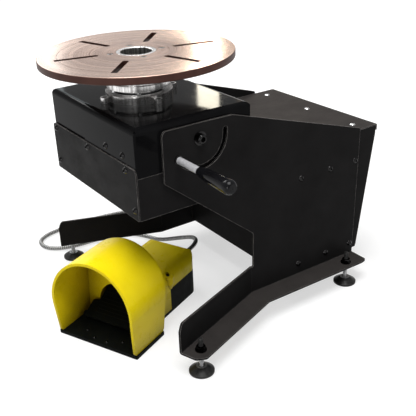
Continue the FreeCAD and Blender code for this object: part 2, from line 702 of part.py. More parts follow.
def gear_motor():
    """Upright gear motor hung under the carrier plate, its gearbox turned down towards the pinion."""
    top = CARRIER_Z
    foot = CARRIER_Z - MOTOR_LEN
    bore = MOTOR_SHAFT_R + RUNNING_GAP
    body = turned([
        (bore, foot), (22, foot), (22, foot + 4), (GEARBOX_R, foot + 4),
        (GEARBOX_R, foot + GEARBOX_H - 2), (GEARBOX_R - 2, foot + GEARBOX_H), (MOTOR_R - 2, foot + GEARBOX_H),
        (MOTOR_R - 2, top), (0, top), (0, foot + 30), (bore, foot + 30)])
    for i in range(12):
        fin = box(MOTOR_R - 4, MOTOR_R, -1.2, 1.2, foot + GEARBOX_H + 4, top - 4)
        fin.rotate(V(0, 0, 0), Z_AXIS, 30 * i)
        body = body.fuse(fin)
    body.translate(V(0, PINION_Y, 0))
    return body


def earth_brush_holder():
    """Insulated block that presses the welding-earth brush on the spindle."""
    x0 = JOURNAL_R + 14
    block = box(x0, x0 + 40, -14, 14, 388, 408)
    block = block.cut(box(x0 - 1, x0 + 34, -8, 8, 392, 404))
    arm = box(x0 + 40, CHEEK_IN_X, -10, 10, 395, 401)
    return fused([block, arm])


def earth_brush():
    x0 = JOURNAL_R + SKIN_GAP
    face = cyl(JOURNAL_R + SKIN_GAP, 20, V(0, 0, 388))
    return box(x0 - 2, x0 + 36, -7.8, 7.8, 392.2, 403.8).cut(face)


# ---- tilt clamp ----------------------------------------------------------------------------------

def clamp_rod():
    """Turned rod with its threaded stud, which passes through the curved slot into the cheek."""
    x = CLAMP_ROD_X
    stud = cyl(CLAMP_STUD_R, x - CHEEK_IN_X + 6, V(CHEEK_IN_X - 6, CLAMP_Y, CLAMP_Z), X_AXIS)
    rod = turned([(0, 0), (CLAMP_ROD_R - 1, 0), (CLAMP_ROD_R, 1), (CLAMP_ROD_R, CLAMP_ROD_LEN),
                  (GRIP_BORE_R, CLAMP_ROD_LEN), (GRIP_BORE_R, CLAMP_ROD_LEN + GRIP_BORE_DEPTH),
                  (0, CLAMP_ROD_LEN + GRIP_BORE_DEPTH)],
                 V(x, CLAMP_Y, CLAMP_Z), X_AXIS)
    return fused([stud, rod])


def clamp_washer():
    seat = V(PLATE_OUT_X + SKIN_GAP, CLAMP_Y, CLAMP_Z)
    return tube(CLAMP_WASHER_R, CLAMP_STUD_R + RUNNING_GAP, CLAMP_WASHER_T, seat, X_AXIS)


def clamp_grip():
    """Tapered moulded handle, wider towards its domed end."""
    x = CLAMP_ROD_X + CLAMP_ROD_LEN
    middle = (GRIP_R_IN + GRIP_R_OUT) / 2 + 1.2
    points = [V(GRIP_R_IN - 0.8, 0, 0), V(GRIP_R_IN, 0, 3), V(middle, 0, GRIP_LEN * 0.46),
              V(GRIP_R_OUT, 0, GRIP_LEN * 0.82), V(GRIP_R_OUT - 1.6, 0, GRIP_LEN * 0.945),
              V(GRIP_R_OUT * 0.6, 0, GRIP_LEN * 0.995)]
    curve = Part.BSplineCurve()
    curve.interpolate(points)
    bore = GRIP_BORE_R + FIXED_GAP
    depth = GRIP_BORE_DEPTH + FIXED_GAP
    end = V(0, 0, GRIP_LEN)
    rest = [points[-1], end, V(0, 0, depth), V(bore, 0, depth), V(bore, 0, 0), points[0]]
    edges = [curve.toShape()] + [Part.makeLine(a, b) for a, b in zip(rest, rest[1:])]
    grip = Part.Face(Part.Wire(edges)).revolve(V(0, 0, 0), Z_AXIS, 360)
    grip.Placement = FreeCAD.Placement(V(x, CLAMP_Y, CLAMP_Z), FreeCAD.Rotation(Z_AXIS, X_AXIS))
    return grip


# ---- side plates ---------------------------------------------------------------------------------

def folded_section(top_z, y0, y1):
    """Web with a foot flange folded outwards along its lower edge, between y0 and y1."""
    x_in = PLATE_IN_X
    x_out = PLATE_OUT_X
    z0 = PLATE_BOTTOM_Z
    edge = x_out + FOOT_FLANGE_W
    return slab([(x_in, z0, FOLD_R), (edge, z0, 0.6), (edge, z0 + PLATE_T, 0.6),
                 (x_out, z0 + PLATE_T, max(FOLD_R - PLATE_T, 0.5)), (x_out, top_z, 0.6), (x_in, top_z, 0.6)],
                front_xz(y0), V(0, y1 - y0, 0))


def plate_web():
    """Upright part of a side plate, with its lobe around the pivot and the foot flange behind the leg."""
    section = folded_section(PLATE_TOP_Z + 1, LOBE_FRONT_Y, PLATE_REAR_Y)
    low = PLATE_BOTTOM_Z - 1
    side = slab([
        (LEG_BEND_Y, low, 0), (PLATE_REAR_Y, low, 0), (PLATE_REAR_Y, PLATE_REAR_TOP_Z, 5),
        (PLATE_RIDGE_Y, PLATE_TOP_Z, 12), (LOBE_FRONT_Y, PLATE_TOP_Z + 2, 13),
        (LOBE_FRONT_Y, LOBE_BOTTOM_Z, 4), (WEB_FRONT_Y, WEB_FRONT_TOP_Z, 8), (WEB_FRONT_Y, LEG_TOP_Z, 0),
        (LEG_BEND_Y, LEG_TOP_Z - 4, 0)],
        side_yz(PLATE_IN_X - 5), V(FOOT_FLANGE_W + 20, 0, 0))
    edge = PLATE_OUT_X + FOOT_FLANGE_W
    inside = PLATE_IN_X - 1
    plan = slab([(inside, LOBE_FRONT_Y - 1, 0), (edge + 1, LOBE_FRONT_Y - 1, 0),
                 (edge + 1, PLATE_REAR_Y - 20, 0), (edge, PLATE_REAR_Y - 18, 3),
                 (edge - 4, PLATE_REAR_Y, 7), (inside, PLATE_REAR_Y, 0)],
                flat_xy(0), V(0, 0, PLATE_TOP_Z + 5))
    return section.common(side).common(plan).cut(beyond_mitre(1))


def beyond_mitre(side):
    """The space on one side of the mitre plane where the leg's fold meets the rear fold."""
    z1 = LEG_TOP_Z - 4 if side > 0 else LEG_TOP_Z + 10
    y0, y1 = (-300, 0) if side > 0 else (0, 300)
    space = Part.makeBox(600, y1 - y0, z1, V(-300, y0, 0))
    space.rotate(V(0, 0, 0), Z_AXIS, side * LEG_SPLAY / 2)
    space.translate(V(PLATE_IN_X, LEG_BEND_Y, 0))
    return space


def plate_leg():
    """Front leg: the same folded section, shaped at its end and turned outwards at the bend line."""
    section = folded_section(LEG_TOP_Z, LEG_BEND_Y - LEG_LEN, LEG_BEND_Y)
    end = LEG_BEND_Y - LEG_LEN
    low = PLATE_BOTTOM_Z - 1
    side = slab([(LEG_BEND_Y, low, 0), (LEG_BEND_Y, LEG_TOP_Z + 1, 0), (end + 8, LEG_TOP_Z + 1, 14),
                 (end, LEG_TOP_Z - 18, 10), (end, low, 0)],
                side_yz(PLATE_IN_X - 5), V(FOOT_FLANGE_W + 20, 0, 0))
    edge = PLATE_OUT_X + FOOT_FLANGE_W
    inside = PLATE_IN_X - 1
    plan = slab([(inside, LEG_BEND_Y, 0), (inside, end, 0), (edge - 16, end, 9), (edge, end + 16, 9),
                 (edge, LEG_BEND_Y, 0)],
                flat_xy(0), V(0, 0, LEG_TOP_Z + 5))
    leg = section.common(side).common(plan).cut(beyond_mitre(-1))
    leg.rotate(V(PLATE_IN_X, LEG_BEND_Y, 0), Z_AXIS, LEG_SPLAY)
    return leg


def tilt_slot():
    """Curved slot about the pivot, in which the clamp's stud travels as the head tilts."""
    x = PLATE_IN_X - 1
    depth = PLATE_T + 2
    half = CLAMP_SLOT_W / 2
    start = CLAMP_ANGLE - 1.0
    ring = tube(CLAMP_R + half, CLAMP_R - half, depth, V(x, PIVOT_Y, PIVOT_Z), X_AXIS)
    reach = 2 * CLAMP_R
    sweep = [V(x, PIVOT_Y, PIVOT_Z)]
    steps = 6
    for i in range(steps + 1):
        a = math.radians(start + (CLAMP_SLOT_END - start) * i / steps)
        sweep.append(V(x, PIVOT_Y + reach * math.cos(a), PIVOT_Z + reach * math.sin(a)))
    sector = Part.Face(Part.makePolygon(sweep + sweep[:1])).extrude(V(depth, 0, 0))
    ends = []
    for angle in (start, CLAMP_SLOT_END):
        a = math.radians(angle)
        end = V(x, PIVOT_Y + CLAMP_R * math.cos(a), PIVOT_Z + CLAMP_R * math.sin(a))
        ends.append(cyl(half, depth, end, X_AXIS))
    return fused([ring.common(sector)] + ends)


def side_plate():
    plate = fused([plate_web(), plate_leg()])
    plate = plate.cut(cyl(BUSH_R + FIXED_GAP, PLATE_T + 2, V(PLATE_IN_X - 1, PIVOT_Y, PIVOT_Z), X_AXIS))
    for y in PLATE_SCREW_YS:
        for z in PLATE_SCREW_ZS:
            plate = plate.cut(cyl(4.0 + FIXED_GAP, PLATE_T + 2, V(PLATE_IN_X - 1, y, z), X_AXIS))
    for x, y in (FRONT_FOOT, REAR_FOOT):
        plate = plate.cut(cyl(STUD_R + RUNNING_GAP, 20, V(x, y, PLATE_BOTTOM_Z - 5)))
    return plate


def side_plate_right():
    return side_plate().cut(tilt_slot())


def side_plate_left():
    return mirrored(side_plate())


def pivot_bushes():
    bush = tube(BUSH_R, PIVOT_R + RUNNING_GAP, PLATE_T, V(PLATE_IN_X, PIVOT_Y, PIVOT_Z), X_AXIS)
    return grouped([bush, mirrored(bush)])


def plate_screws():
    """Black button-head screws that hold the cabinet between the side plates."""
    screws = []
    for y in PLATE_SCREW_YS:
        for z in PLATE_SCREW_ZS:
            screw = button_screw(4.0, PLATE_T + 8, V(PLATE_OUT_X, y, z), X_AXIS)
            screws += [screw, mirrored(screw)]
    return grouped(screws)


# ---- cabinet -------------------------------------------------------------------------------------

def cabinet_side_outline(inset, top_z):
    """Side view of the cabinet, upright in front and leaning back behind, smaller by inset."""
    z0 = CABINET_BOTTOM_Z + inset
    y_low = CABINET_BOTTOM_REAR_Y + CABINET_LEAN * inset - inset
    y_high = CABINET_BOTTOM_REAR_Y + CABINET_LEAN * (top_z - CABINET_BOTTOM_Z) - inset
    y0 = CABINET_FRONT_Y + inset
    return [(y0, z0, 1.5), (y_low, z0, 1.5), (y_high, top_z, 0), (y0, top_z, 0)]


def cabinet_body():
    """Folded box open at the top and at the back, with screw lips around both openings."""
    t = CABINET_SHEET
    top = CABINET_TOP_Z - COVER_T - SKIN_GAP
    w = CABINET_HALF_W
    outer = slab(cabinet_side_outline(0, top), side_yz(-w), V(2 * w, 0, 0))
    inner = slab(cabinet_side_outline(t, top + 5), side_yz(-w + t), V(2 * w - 2 * t, 0, 0))
    shell = outer.cut(inner)
    rear_open = box(-w + 20, w - 20, CABINET_BOTTOM_REAR_Y - 12, CABINET_TOP_REAR_Y + 20,
                    CABINET_BOTTOM_Z + 20, top + 5)
    shell = shell.cut(rear_open)
    lips = []
    for y in (COVER_SCREW_FRONT_Y, COVER_SCREW_REAR_Y):
        lip = box(-w + t, w - t, y - 12, y + 12, top - 3, top)
        for x in (-COVER_SCREW_X, 0, COVER_SCREW_X):
            lip = lip.cut(cyl(COVER_SCREW_SHANK + FIXED_GAP, 10, V(x, y, top - 5)))
        lips.append(lip)
    shell = fused([shell] + lips)
    for y in PLATE_SCREW_YS:
        for z in PLATE_SCREW_ZS:
            hole = cyl(4.0 + FIXED_GAP, 20, V(w - 10, y, z), X_AXIS)
            shell = shell.cut(hole).cut(mirrored(hole))
    for x, h in rear_screw_places():
        shell = shell.cut(on_rear(cyl(2.5 + FIXED_GAP, 20, V(x, -10, h), Y_AXIS)))
    return shell


def cabinet_cover():
    """Flat top cover, folded down at the back over the rear panel."""
    w = CABINET_HALF_W
    top = CABINET_TOP_Z
    cover = slab([(-w, CABINET_FRONT_Y, 2), (w, CABINET_FRONT_Y, 2), (w, CABINET_TOP_REAR_Y + COVER_T, 2),
                  (-w, CABINET_TOP_REAR_Y + COVER_T, 2)], flat_xy(top - COVER_T), V(0, 0, COVER_T))
    lip = box(-w, w, CABINET_TOP_REAR_Y, CABINET_TOP_REAR_Y + COVER_T, LIP_BOTTOM_Z, top - 1)
    cover = fused([cover, lip])
    for y in (COVER_SCREW_FRONT_Y, COVER_SCREW_REAR_Y):
        for x in (-COVER_SCREW_X, 0, COVER_SCREW_X):
            cover = cover.cut(cyl(COVER_SCREW_SHANK + FIXED_GAP, 10, V(x, y, top - 5)))
    return cover


def cabinet_cover_screws():
    screws = []
    for y in (COVER_SCREW_FRONT_Y, COVER_SCREW_REAR_Y):
        for x in (-COVER_SCREW_X, 0, COVER_SCREW_X):
            screws.append(button_screw(COVER_SCREW_SHANK, 8.0, V(x, y, CABINET_TOP_Z), Z_AXIS))
    return grouped(screws)


def on_rear(shape):
    """Stand a shape on the leaning rear wall: its +Y becomes straight out of the wall, its +Z up along it."""
    shape = shape.copy()
    shape.rotate(V(0, 0, 0), X_AXIS, -math.degrees(math.atan(CABINET_LEAN)))
    shape.translate(V(0, CABINET_BOTTOM_REAR_Y, CABINET_BOTTOM_Z))
    return shape


def rear_screw_places():
    x = CABINET_HALF_W - 10
    return [(sx * x, h) for sx in (-1, 1) for h in (12, REAR_PANEL_H / 2, REAR_PANEL_H - 10)]


def cabinet_rear_panel():
    w = CABINET_HALF_W - 1
    panel = slab([(-w, 2, 3), (w, 2, 3), (w, REAR_PANEL_H, 3), (-w, REAR_PANEL_H, 3)],
                 front_xz(0), V(0, REAR_PANEL_T, 0))
    for x, h in rear_screw_places():
        panel = panel.cut(cyl(2.5 + FIXED_GAP, 20, V(x, -10, h), Y_AXIS))
    round_holes = [(GLAND_THREAD_R, *GLAND_PLACE), (EARTH_R, *EARTH_PLACE), (CONTROL_BUSH_R, *KNOB_PLACE),
                   (CONTROL_BUSH_R, *TOGGLE_PLACE)]
    for r, x, h in round_holes:
        panel = panel.cut(cyl(r + FIXED_GAP, 20, V(x, -10, h), Y_AXIS))
    for (x, h), half_w, half_h in ((INLET_PLACE, INLET_HALF_W, INLET_HALF_H),
                                   (ROCKER_PLACE, ROCKER_HALF_W, ROCKER_HALF_H)):
        gap = FIXED_GAP
        window = box(x - half_w - gap, x + half_w + gap, -10, 10, h - half_h - gap, h + half_h + gap)
        panel = panel.cut(window)
    return on_rear(panel)


def rear_panel_screws():
    screws = [button_screw(2.5, 8.0, V(x, REAR_PANEL_T, h), Y_AXIS) for x, h in rear_screw_places()]
    return grouped([on_rear(screw) for screw in screws])


def mains_inlet():
    """Panel socket for a mains lead: flanged body with a recess and three flat pins."""
    x, h = INLET_PLACE
    front = REAR_PANEL_T + 3
    w = INLET_HALF_W + 4
    k = INLET_HALF_H + 3
    flange = slab([(x - w, h - k, 3), (x + w, h - k, 3), (x + w, h + k, 3), (x - w, h + k, 3)],
                  front_xz(REAR_PANEL_T), V(0, 3, 0))
    body = box(x - INLET_HALF_W, x + INLET_HALF_W, -26, REAR_PANEL_T + 1, h - INLET_HALF_H, h + INLET_HALF_H)
    recess = slab([(x - 12, h - 8.5, 1), (x + 12, h - 8.5, 1), (x + 12, h + 4, 4), (x + 7, h + 8.5, 3),
                   (x - 7, h + 8.5, 3), (x - 12, h + 4, 4)], front_xz(front - 16), V(0, 17, 0))
    inlet = fused([flange, body]).cut(recess)
    pins = [box(x + px - 1, x + px + 1, front - 17, front - 3, h + ph - 2, h + ph + 2)
            for px, ph in ((-7, -3), (7, -3), (0, 1.5))]
    return on_rear(fused([inlet] + pins))


def rocker_frame():
    """Frame of the power switch that the rocker tilts in."""
    x, h = ROCKER_PLACE
    w = ROCKER_HALF_W
    k = ROCKER_HALF_H
    flange = box(x - w - 2.5, x + w + 2.5, REAR_PANEL_T, REAR_PANEL_T + 2, h - k - 2.5, h + k + 2.5)
    body = box(x - w, x + w, -22, REAR_PANEL_T + 1, h - k, h + k)
    pocket = box(x - w + 2, x + w - 2, -10, REAR_PANEL_T + 3, h - k + 2, h + k - 2)
    return on_rear(fused([flange, body]).cut(pocket))


def power_rocker():
    """Rocker with its two faces meeting in a shallow valley, tipped to its off position."""
    x, h = ROCKER_PLACE
    w = ROCKER_HALF_W - 2.5
    k = ROCKER_HALF_H - 3.2
    y = REAR_PANEL_T
    rocker = slab([(y - 6, h - k + 3, 0.5), (y + 3.4, h - k, 0.8), (y + 1.6, h, 0), (y + 3.4, h + k, 0.8),
                   (y - 6, h + k - 3, 0.5)], side_yz(x - w), V(2 * w, 0, 0))
    rocker.rotate(V(0, ROCKER_AXIS_OUT, h), X_AXIS, -ROCKER_TILT)
    return on_rear(rocker)


def panel_controls():
    """The speed potentiometer and the direction switch behind the panel, with their threaded bushes."""
    pieces = []
    for (x, h), half in ((KNOB_PLACE, 12), (TOGGLE_PLACE, 7)):
        body = box(x - half, x + half, -22, -0.5, h - half, h + half)
        bush = cyl(CONTROL_BUSH_R, 7.5, V(x, -1, h), Y_AXIS)
        nut = hexagon(2.6 * CONTROL_BUSH_R, 2.4, V(x, REAR_PANEL_T, h), Y_AXIS)
        piece = fused([body, bush, nut])
        piece = piece.cut(cyl(CONTROL_STEM_R + RUNNING_GAP, 20, V(x, -10, h), Y_AXIS))
        if half == 7:
            piece = piece.cut(Part.makeCone(CONTROL_STEM_R, 3.9, 7, V(x, 0, h), Y_AXIS))
        pieces.append(piece)
    return grouped([on_rear(piece) for piece in pieces])


def speed_knob():
    """Fluted control knob with a pointer rib on its face."""
    x, h = KNOB_PLACE
    y = REAR_PANEL_T + 5.2
    knob = turned([(0, 0), (14, 0), (14, 2.5), (12, 4.5), (11.2, 15), (10, 16), (0, 16)], V(x, y, h), Y_AXIS)
    for i in range(18):
        a = math.radians(20 * i + 10)
        place = V(x + 12.4 * math.cos(a), y + 4.5, h + 12.4 * math.sin(a))
        knob = knob.cut(cyl(1.1, 14, place, Y_AXIS))
    pointer = box(x - 0.8, x + 0.8, y + 15.5, y + 17, h + 2, h + 9.5)
    stem = cyl(CONTROL_STEM_R, 15, V(x, y - 14, h), Y_AXIS)
    return on_rear(fused([knob, pointer, stem]))


def direction_toggle():
    """Bat-shaped lever of the direction switch, in its centre position."""
    x, h = TOGGLE_PLACE
    y = TOGGLE_BALL_OUT
    ball = Part.makeSphere(CONTROL_STEM_R, V(x, y, h))
    bat = Part.makeCone(1.6, 2.7, 17, V(x, y, h), Y_AXIS)
    tip = Part.makeSphere(2.7, V(x, y + 17, h))
    return on_rear(fused([ball, bat, tip]))


def earth_socket():
    """Round panel socket for the welding earth lead, with a keyway."""
    x, h = EARTH_PLACE
    face = REAR_PANEL_T
    socket = turned([(EARTH_BORE_R, -24), (EARTH_R, -24), (EARTH_R, face), (EARTH_R + 5, face),
                     (EARTH_R + 5, face + 4), (EARTH_R + 1, face + 9), (EARTH_BORE_R, face + 9)],
                    V(x, 0, h), Y_AXIS)
    back = cyl(EARTH_R, 5, V(x, -28, h), Y_AXIS)
    keyway = box(x - 1.8, x + 1.8, face - 6, face + 10, h + EARTH_BORE_R - 1, h + EARTH_BORE_R + 3)
    return on_rear(fused([socket, back]).cut(keyway))


def gland(base, out, wall):
    """Screwed conduit fitting: thread through the wall, hexagon, and a domed nut that holds the conduit."""
    thread = cyl(GLAND_THREAD_R, wall + 5, base - out * (wall + 5), out)
    nut = hexagon(2 * GLAND_R * 0.95, 4, base - out * (wall + 4), out)
    body = hexagon(2 * GLAND_R * 0.95, 6, base, out)
    dome = turned([(0, 6), (GLAND_R, 6), (GLAND_R, 11), (CONDUIT_R + 1.6, GLAND_LEN), (0, GLAND_LEN)],
                  base, out)
    return fused([thread, nut, body, dome])


def conduit_glands():
    """The two fittings that hold the conduit: one on the rear panel and one on the back of the pedal."""
    x, h = GLAND_PLACE
    at_panel = on_rear(gland(V(x, REAR_PANEL_T, h), Y_AXIS, REAR_PANEL_T))
    at_pedal = on_pedal(gland(V(PEDAL_GLAND_U, BODY_END, PEDAL_GLAND_Z), Y_AXIS, BODY_WALL))
    return grouped([at_panel, at_pedal])


def power_supply():
    """Enclosed power supply on the cabinet floor, with vent slots in its lid."""
    z = CABINET_BOTTOM_Z + CABINET_SHEET
    supply = box(-160, -20, CABINET_FRONT_Y + 30, CABINET_FRONT_Y + 125, z, z + 48)
    for i in range(9):
        x = -148 + 14 * i
        supply = supply.cut(box(x, x + 6, CABINET_FRONT_Y + 45, CABINET_FRONT_Y + 110, z + 45, z + 49))
    return supply


def control_board():
    """Motor control board on four posts, with its heat sink, capacitors and terminal strip."""
    z = CABINET_BOTTOM_Z + CABINET_SHEET
    x0 = 20
    y0 = CABINET_FRONT_Y + 30
    board = box(x0, x0 + 140, y0, y0 + 100, z + 12, z + 13.6)
    posts = [cyl(4, 12.5, V(x0 + dx, y0 + dy, z)) for dx in (8, 132) for dy in (8, 92)]
    sink = [box(x0 + 20, x0 + 80, y0 + 60, y0 + 90, z + 13, z + 18)]
    sink += [box(x0 + 20 + 8 * i, x0 + 22.5 + 8 * i, y0 + 60, y0 + 90, z + 17, z + 42) for i in range(8)]
    cans = [cyl(9, 26, V(x0 + 105, y0 + 28 + 24 * i, z + 13)) for i in range(3)]
    strip = box(x0 + 20, x0 + 84, y0 + 6, y0 + 18, z + 13, z + 25)
    relays = [box(x0 + 22 + 22 * i, x0 + 40 + 22 * i, y0 + 28, y0 + 44, z + 13, z + 29) for i in range(3)]
    return fused([board, strip] + posts + sink + cans + relays)


# ---- levelling feet ------------------------------------------------------------------------------

def levelling_foot(x, y):
    """Domed pad with a ball-ended stud that screws through the foot flange."""
    lip = PAD_H - 9
    pad = turned([(0, 0.8), (PAD_R - 4, 0.8), (PAD_R - 3, 0), (PAD_R - 0.8, 0), (PAD_R, 0.8),
                  (PAD_R, lip - 1.5), (PAD_R - 2, lip), (PAD_R - 9, PAD_H - 4), (STUD_R + 6, PAD_H), (STUD_R + 1.4, PAD_H),
                  (0, PAD_H)], V(x, y, 0))
    socket = cyl(STUD_R + 1, 8, V(x, y, PAD_H - 7))
    neck = turned([(0, 0), (STUD_R, 0), (STUD_R + 0.8, 2), (STUD_R + 0.8, 5), (STUD_R - 1.5, 8),
                   (STUD_R - 1.5, 12), (STUD_R, 13), (STUD_R, STUD_TOP_Z - PAD_H + 5), (STUD_R - 1.5, STUD_TOP_Z - PAD_H + 6.5),
                   (0, STUD_TOP_Z - PAD_H + 6.5)], V(x, y, PAD_H - 6.5))
    return grouped([pad.cut(socket), neck])


def levelling_nuts():
    """A nut under each foot flange and a lock nut with its washer on top."""
    nuts = []
    for sx in (-1, 1):
        for x, y in (FRONT_FOOT, REAR_FOOT):
            low = V(sx * x, y, PLATE_BOTTOM_Z - NUT_H)
            high = V(sx * x, y, PLATE_BOTTOM_Z + PLATE_T)
            washer = cyl(FOOT_WASHER_R, FOOT_WASHER_T, high)
            lock = fused([washer, hexagon(NUT_FLATS, FOOT_WASHER_T + NUT_H, high)])
            for nut, seat in ((hexagon(NUT_FLATS, NUT_H, low), low), (lock, high)):
                nuts.append(nut.cut(cyl(STUD_R + RUNNING_GAP, 2 * NUT_H, seat)))
    return grouped(nuts)


# ---- foot pedal ----------------------------------------------------------------------------------

def on_pedal(shape):
    """Move a shape from the pedal's own frame to where the pedal lies."""
    shape = shape.copy()
    shape.rotate(V(0, 0, 0), Z_AXIS, PEDAL_YAW)
    shape.translate(V(*PEDAL_ORIGIN, 0))
    return shape


def hood_back_y(z):
    """Where the hood's leaning back edge is at height z."""
    return HOOD_LEN + HOOD_LEAN * (z - TRAY_T) / (HOOD_SPRING_Z + HOOD_HALF_W - TRAY_T)


def arch(inset, y0, y1, z0):
    """Solid arch: nearly upright sides under a half round, smaller by inset all over."""
    r = HOOD_HALF_W - inset
    foot = TRAY_HALF_W - 1 - inset
    a = V(-foot, y0, z0)
    b = V(-r, y0, HOOD_SPRING_Z)
    c = V(r, y0, HOOD_SPRING_Z)
    d = V(foot, y0, z0)
    crown = Part.Arc(b, V(0, y0, HOOD_SPRING_Z + r), c).toShape()
    wire = Part.Wire([Part.makeLine(a, b), crown, Part.makeLine(c, d), Part.makeLine(d, a)])
    return Part.Face(wire).extrude(V(0, y1 - y0, 0))


def pedal_hood():
    """Guard over the toes: an arched shell whose back is closed around the neck of the body."""
    top = HOOD_SPRING_Z + HOOD_HALF_W + 2
    w = HOOD_HALF_W + 5
    shell = arch(0, -20, HOOD_LEN + 40, TRAY_T).cut(arch(HOOD_T, -20, HOOD_LEN + 40, TRAY_T - 1))
    side = slab([(0, TRAY_T, 5), (-8, HOOD_SPRING_Z, 300), (0, top, 0), (hood_back_y(top), top, 0),
                 (hood_back_y(TRAY_T), TRAY_T, 0)], side_yz(-w), V(2 * w, 0, 0))
    back_side = slab([(hood_back_y(TRAY_T) - 5, TRAY_T, 0), (hood_back_y(top) - 5, top, 0),
                      (hood_back_y(top) + HOOD_STEP, top, 0), (hood_back_y(TRAY_T) + HOOD_STEP, TRAY_T, 0)],
                     side_yz(-w), V(2 * w, 0, 0))
    back = arch(HOOD_T - 3, 0, HOOD_LEN + 60, TRAY_T).common(back_side)
    reach = BODY_HALF_W - BODY_WALL
    mouth_top = neck_top(0) - BODY_WALL
    mouth = slab([(-reach, TRAY_T - 1, 0), (reach, TRAY_T - 1, 0), (reach, mouth_top, MOUTH_R),
                  (-reach, mouth_top, MOUTH_R)], front_xz(60), V(0, 100, 0))
    hood = fused([shell.common(side), back]).cut(mouth)
    return on_pedal(hood)


def neck_top(extra):
    """Height of the pedal body's roof where it meets the hood."""
    return BODY_TOP_Z - NECK_DROP + extra


def body_block(inset, z_low):
    """Outer form of the pedal's cover, smaller by inset on its sides, top and end."""
    w = BODY_HALF_W - inset
    end = BODY_END - inset
    r = BODY_CORNER_R - inset
    edge = BODY_EDGE_R - inset
    top = BODY_TOP_Z - inset
    start = hood_back_y(TRAY_T) + HOOD_STEP + SKIN_GAP
    plan = slab([(-w, start - 30, 0), (w, start - 30, 0), (w, end, r), (-w, end, r)],
                flat_xy(0), V(0, 0, top + 10))
    front = slab([(-w, z_low, 0), (w, z_low, 0), (w, top, edge), (-w, top, edge)],
                 front_xz(0), V(0, end + 20, 0))
    top_y = hood_back_y(top) + HOOD_STEP + SKIN_GAP
    side = slab([(start, TRAY_T if inset == 0 else z_low, 0), (end, TRAY_T if inset == 0 else z_low, 0),
                 (end, top, 14), (BODY_CREST_START, top, 20), (top_y - inset, neck_top(-inset), 0)],
                side_yz(-w - 5), V(2 * w + 10, 0, 0))
    return plan.common(front).common(side)


def pedal_cover():
    """Moulded cover over the pedal's switch, with the neck that joins it to the hood."""
    low = TRAY_T - 2
    outer = body_block(0, TRAY_T)
    room = body_block(BODY_WALL, low)
    mouth_room = room.copy()
    mouth_room.translate(V(0, -3 * BODY_WALL, 0))
    below_split = box(-BODY_HALF_W - 5, BODY_HALF_W + 5, BODY_SIDE_START, BODY_END + 5, 0, BODY_SPLIT_Z)
    cover = outer.cut(below_split).cut(room).cut(mouth_room)
    for x, y, z in cover_screw_places():
        boss = turned([(0, BODY_SPLIT_Z), (BOSS_R - 5, BODY_SPLIT_Z), (BOSS_R, BODY_SPLIT_Z + 14),
                       (BOSS_R, z - 3), (BOSS_R - 3, z), (0, z)], V(x, y, 0))
        cover = cover.fuse(boss)
    cover = cover.removeSplitter()
    for x, y, z in cover_screw_places():
        cover = cover.cut(cyl(2.5 + FIXED_GAP, 60, V(x, y, z - 50))).cut(cyl(5.5, 20, V(x, y, z)))
    u, z = PEDAL_GLAND_U, PEDAL_GLAND_Z
    cover = cover.cut(cyl(GLAND_THREAD_R + FIXED_GAP, 30, V(u, BODY_END - 15, z), Y_AXIS))
    return on_pedal(cover)


def cover_screw_places():
    y = BODY_SIDE_START + 2
    return [(sx * BOSS_X, y, BOSS_TOP_Z) for sx in (-1, 1)]


def tray_screw_places():
    return [(sx * x, y, TRAY_T) for sx in (-1, 1) for x, y in TRAY_SCREWS]


def pedal_screws():
    screws = [button_screw(2.5, 14.0, V(*place), Z_AXIS) for place in cover_screw_places()]
    screws += [button_screw(2.0, 6.0, V(*place), Z_AXIS) for place in tray_screw_places()]
    return grouped([on_pedal(screw) for screw in screws])


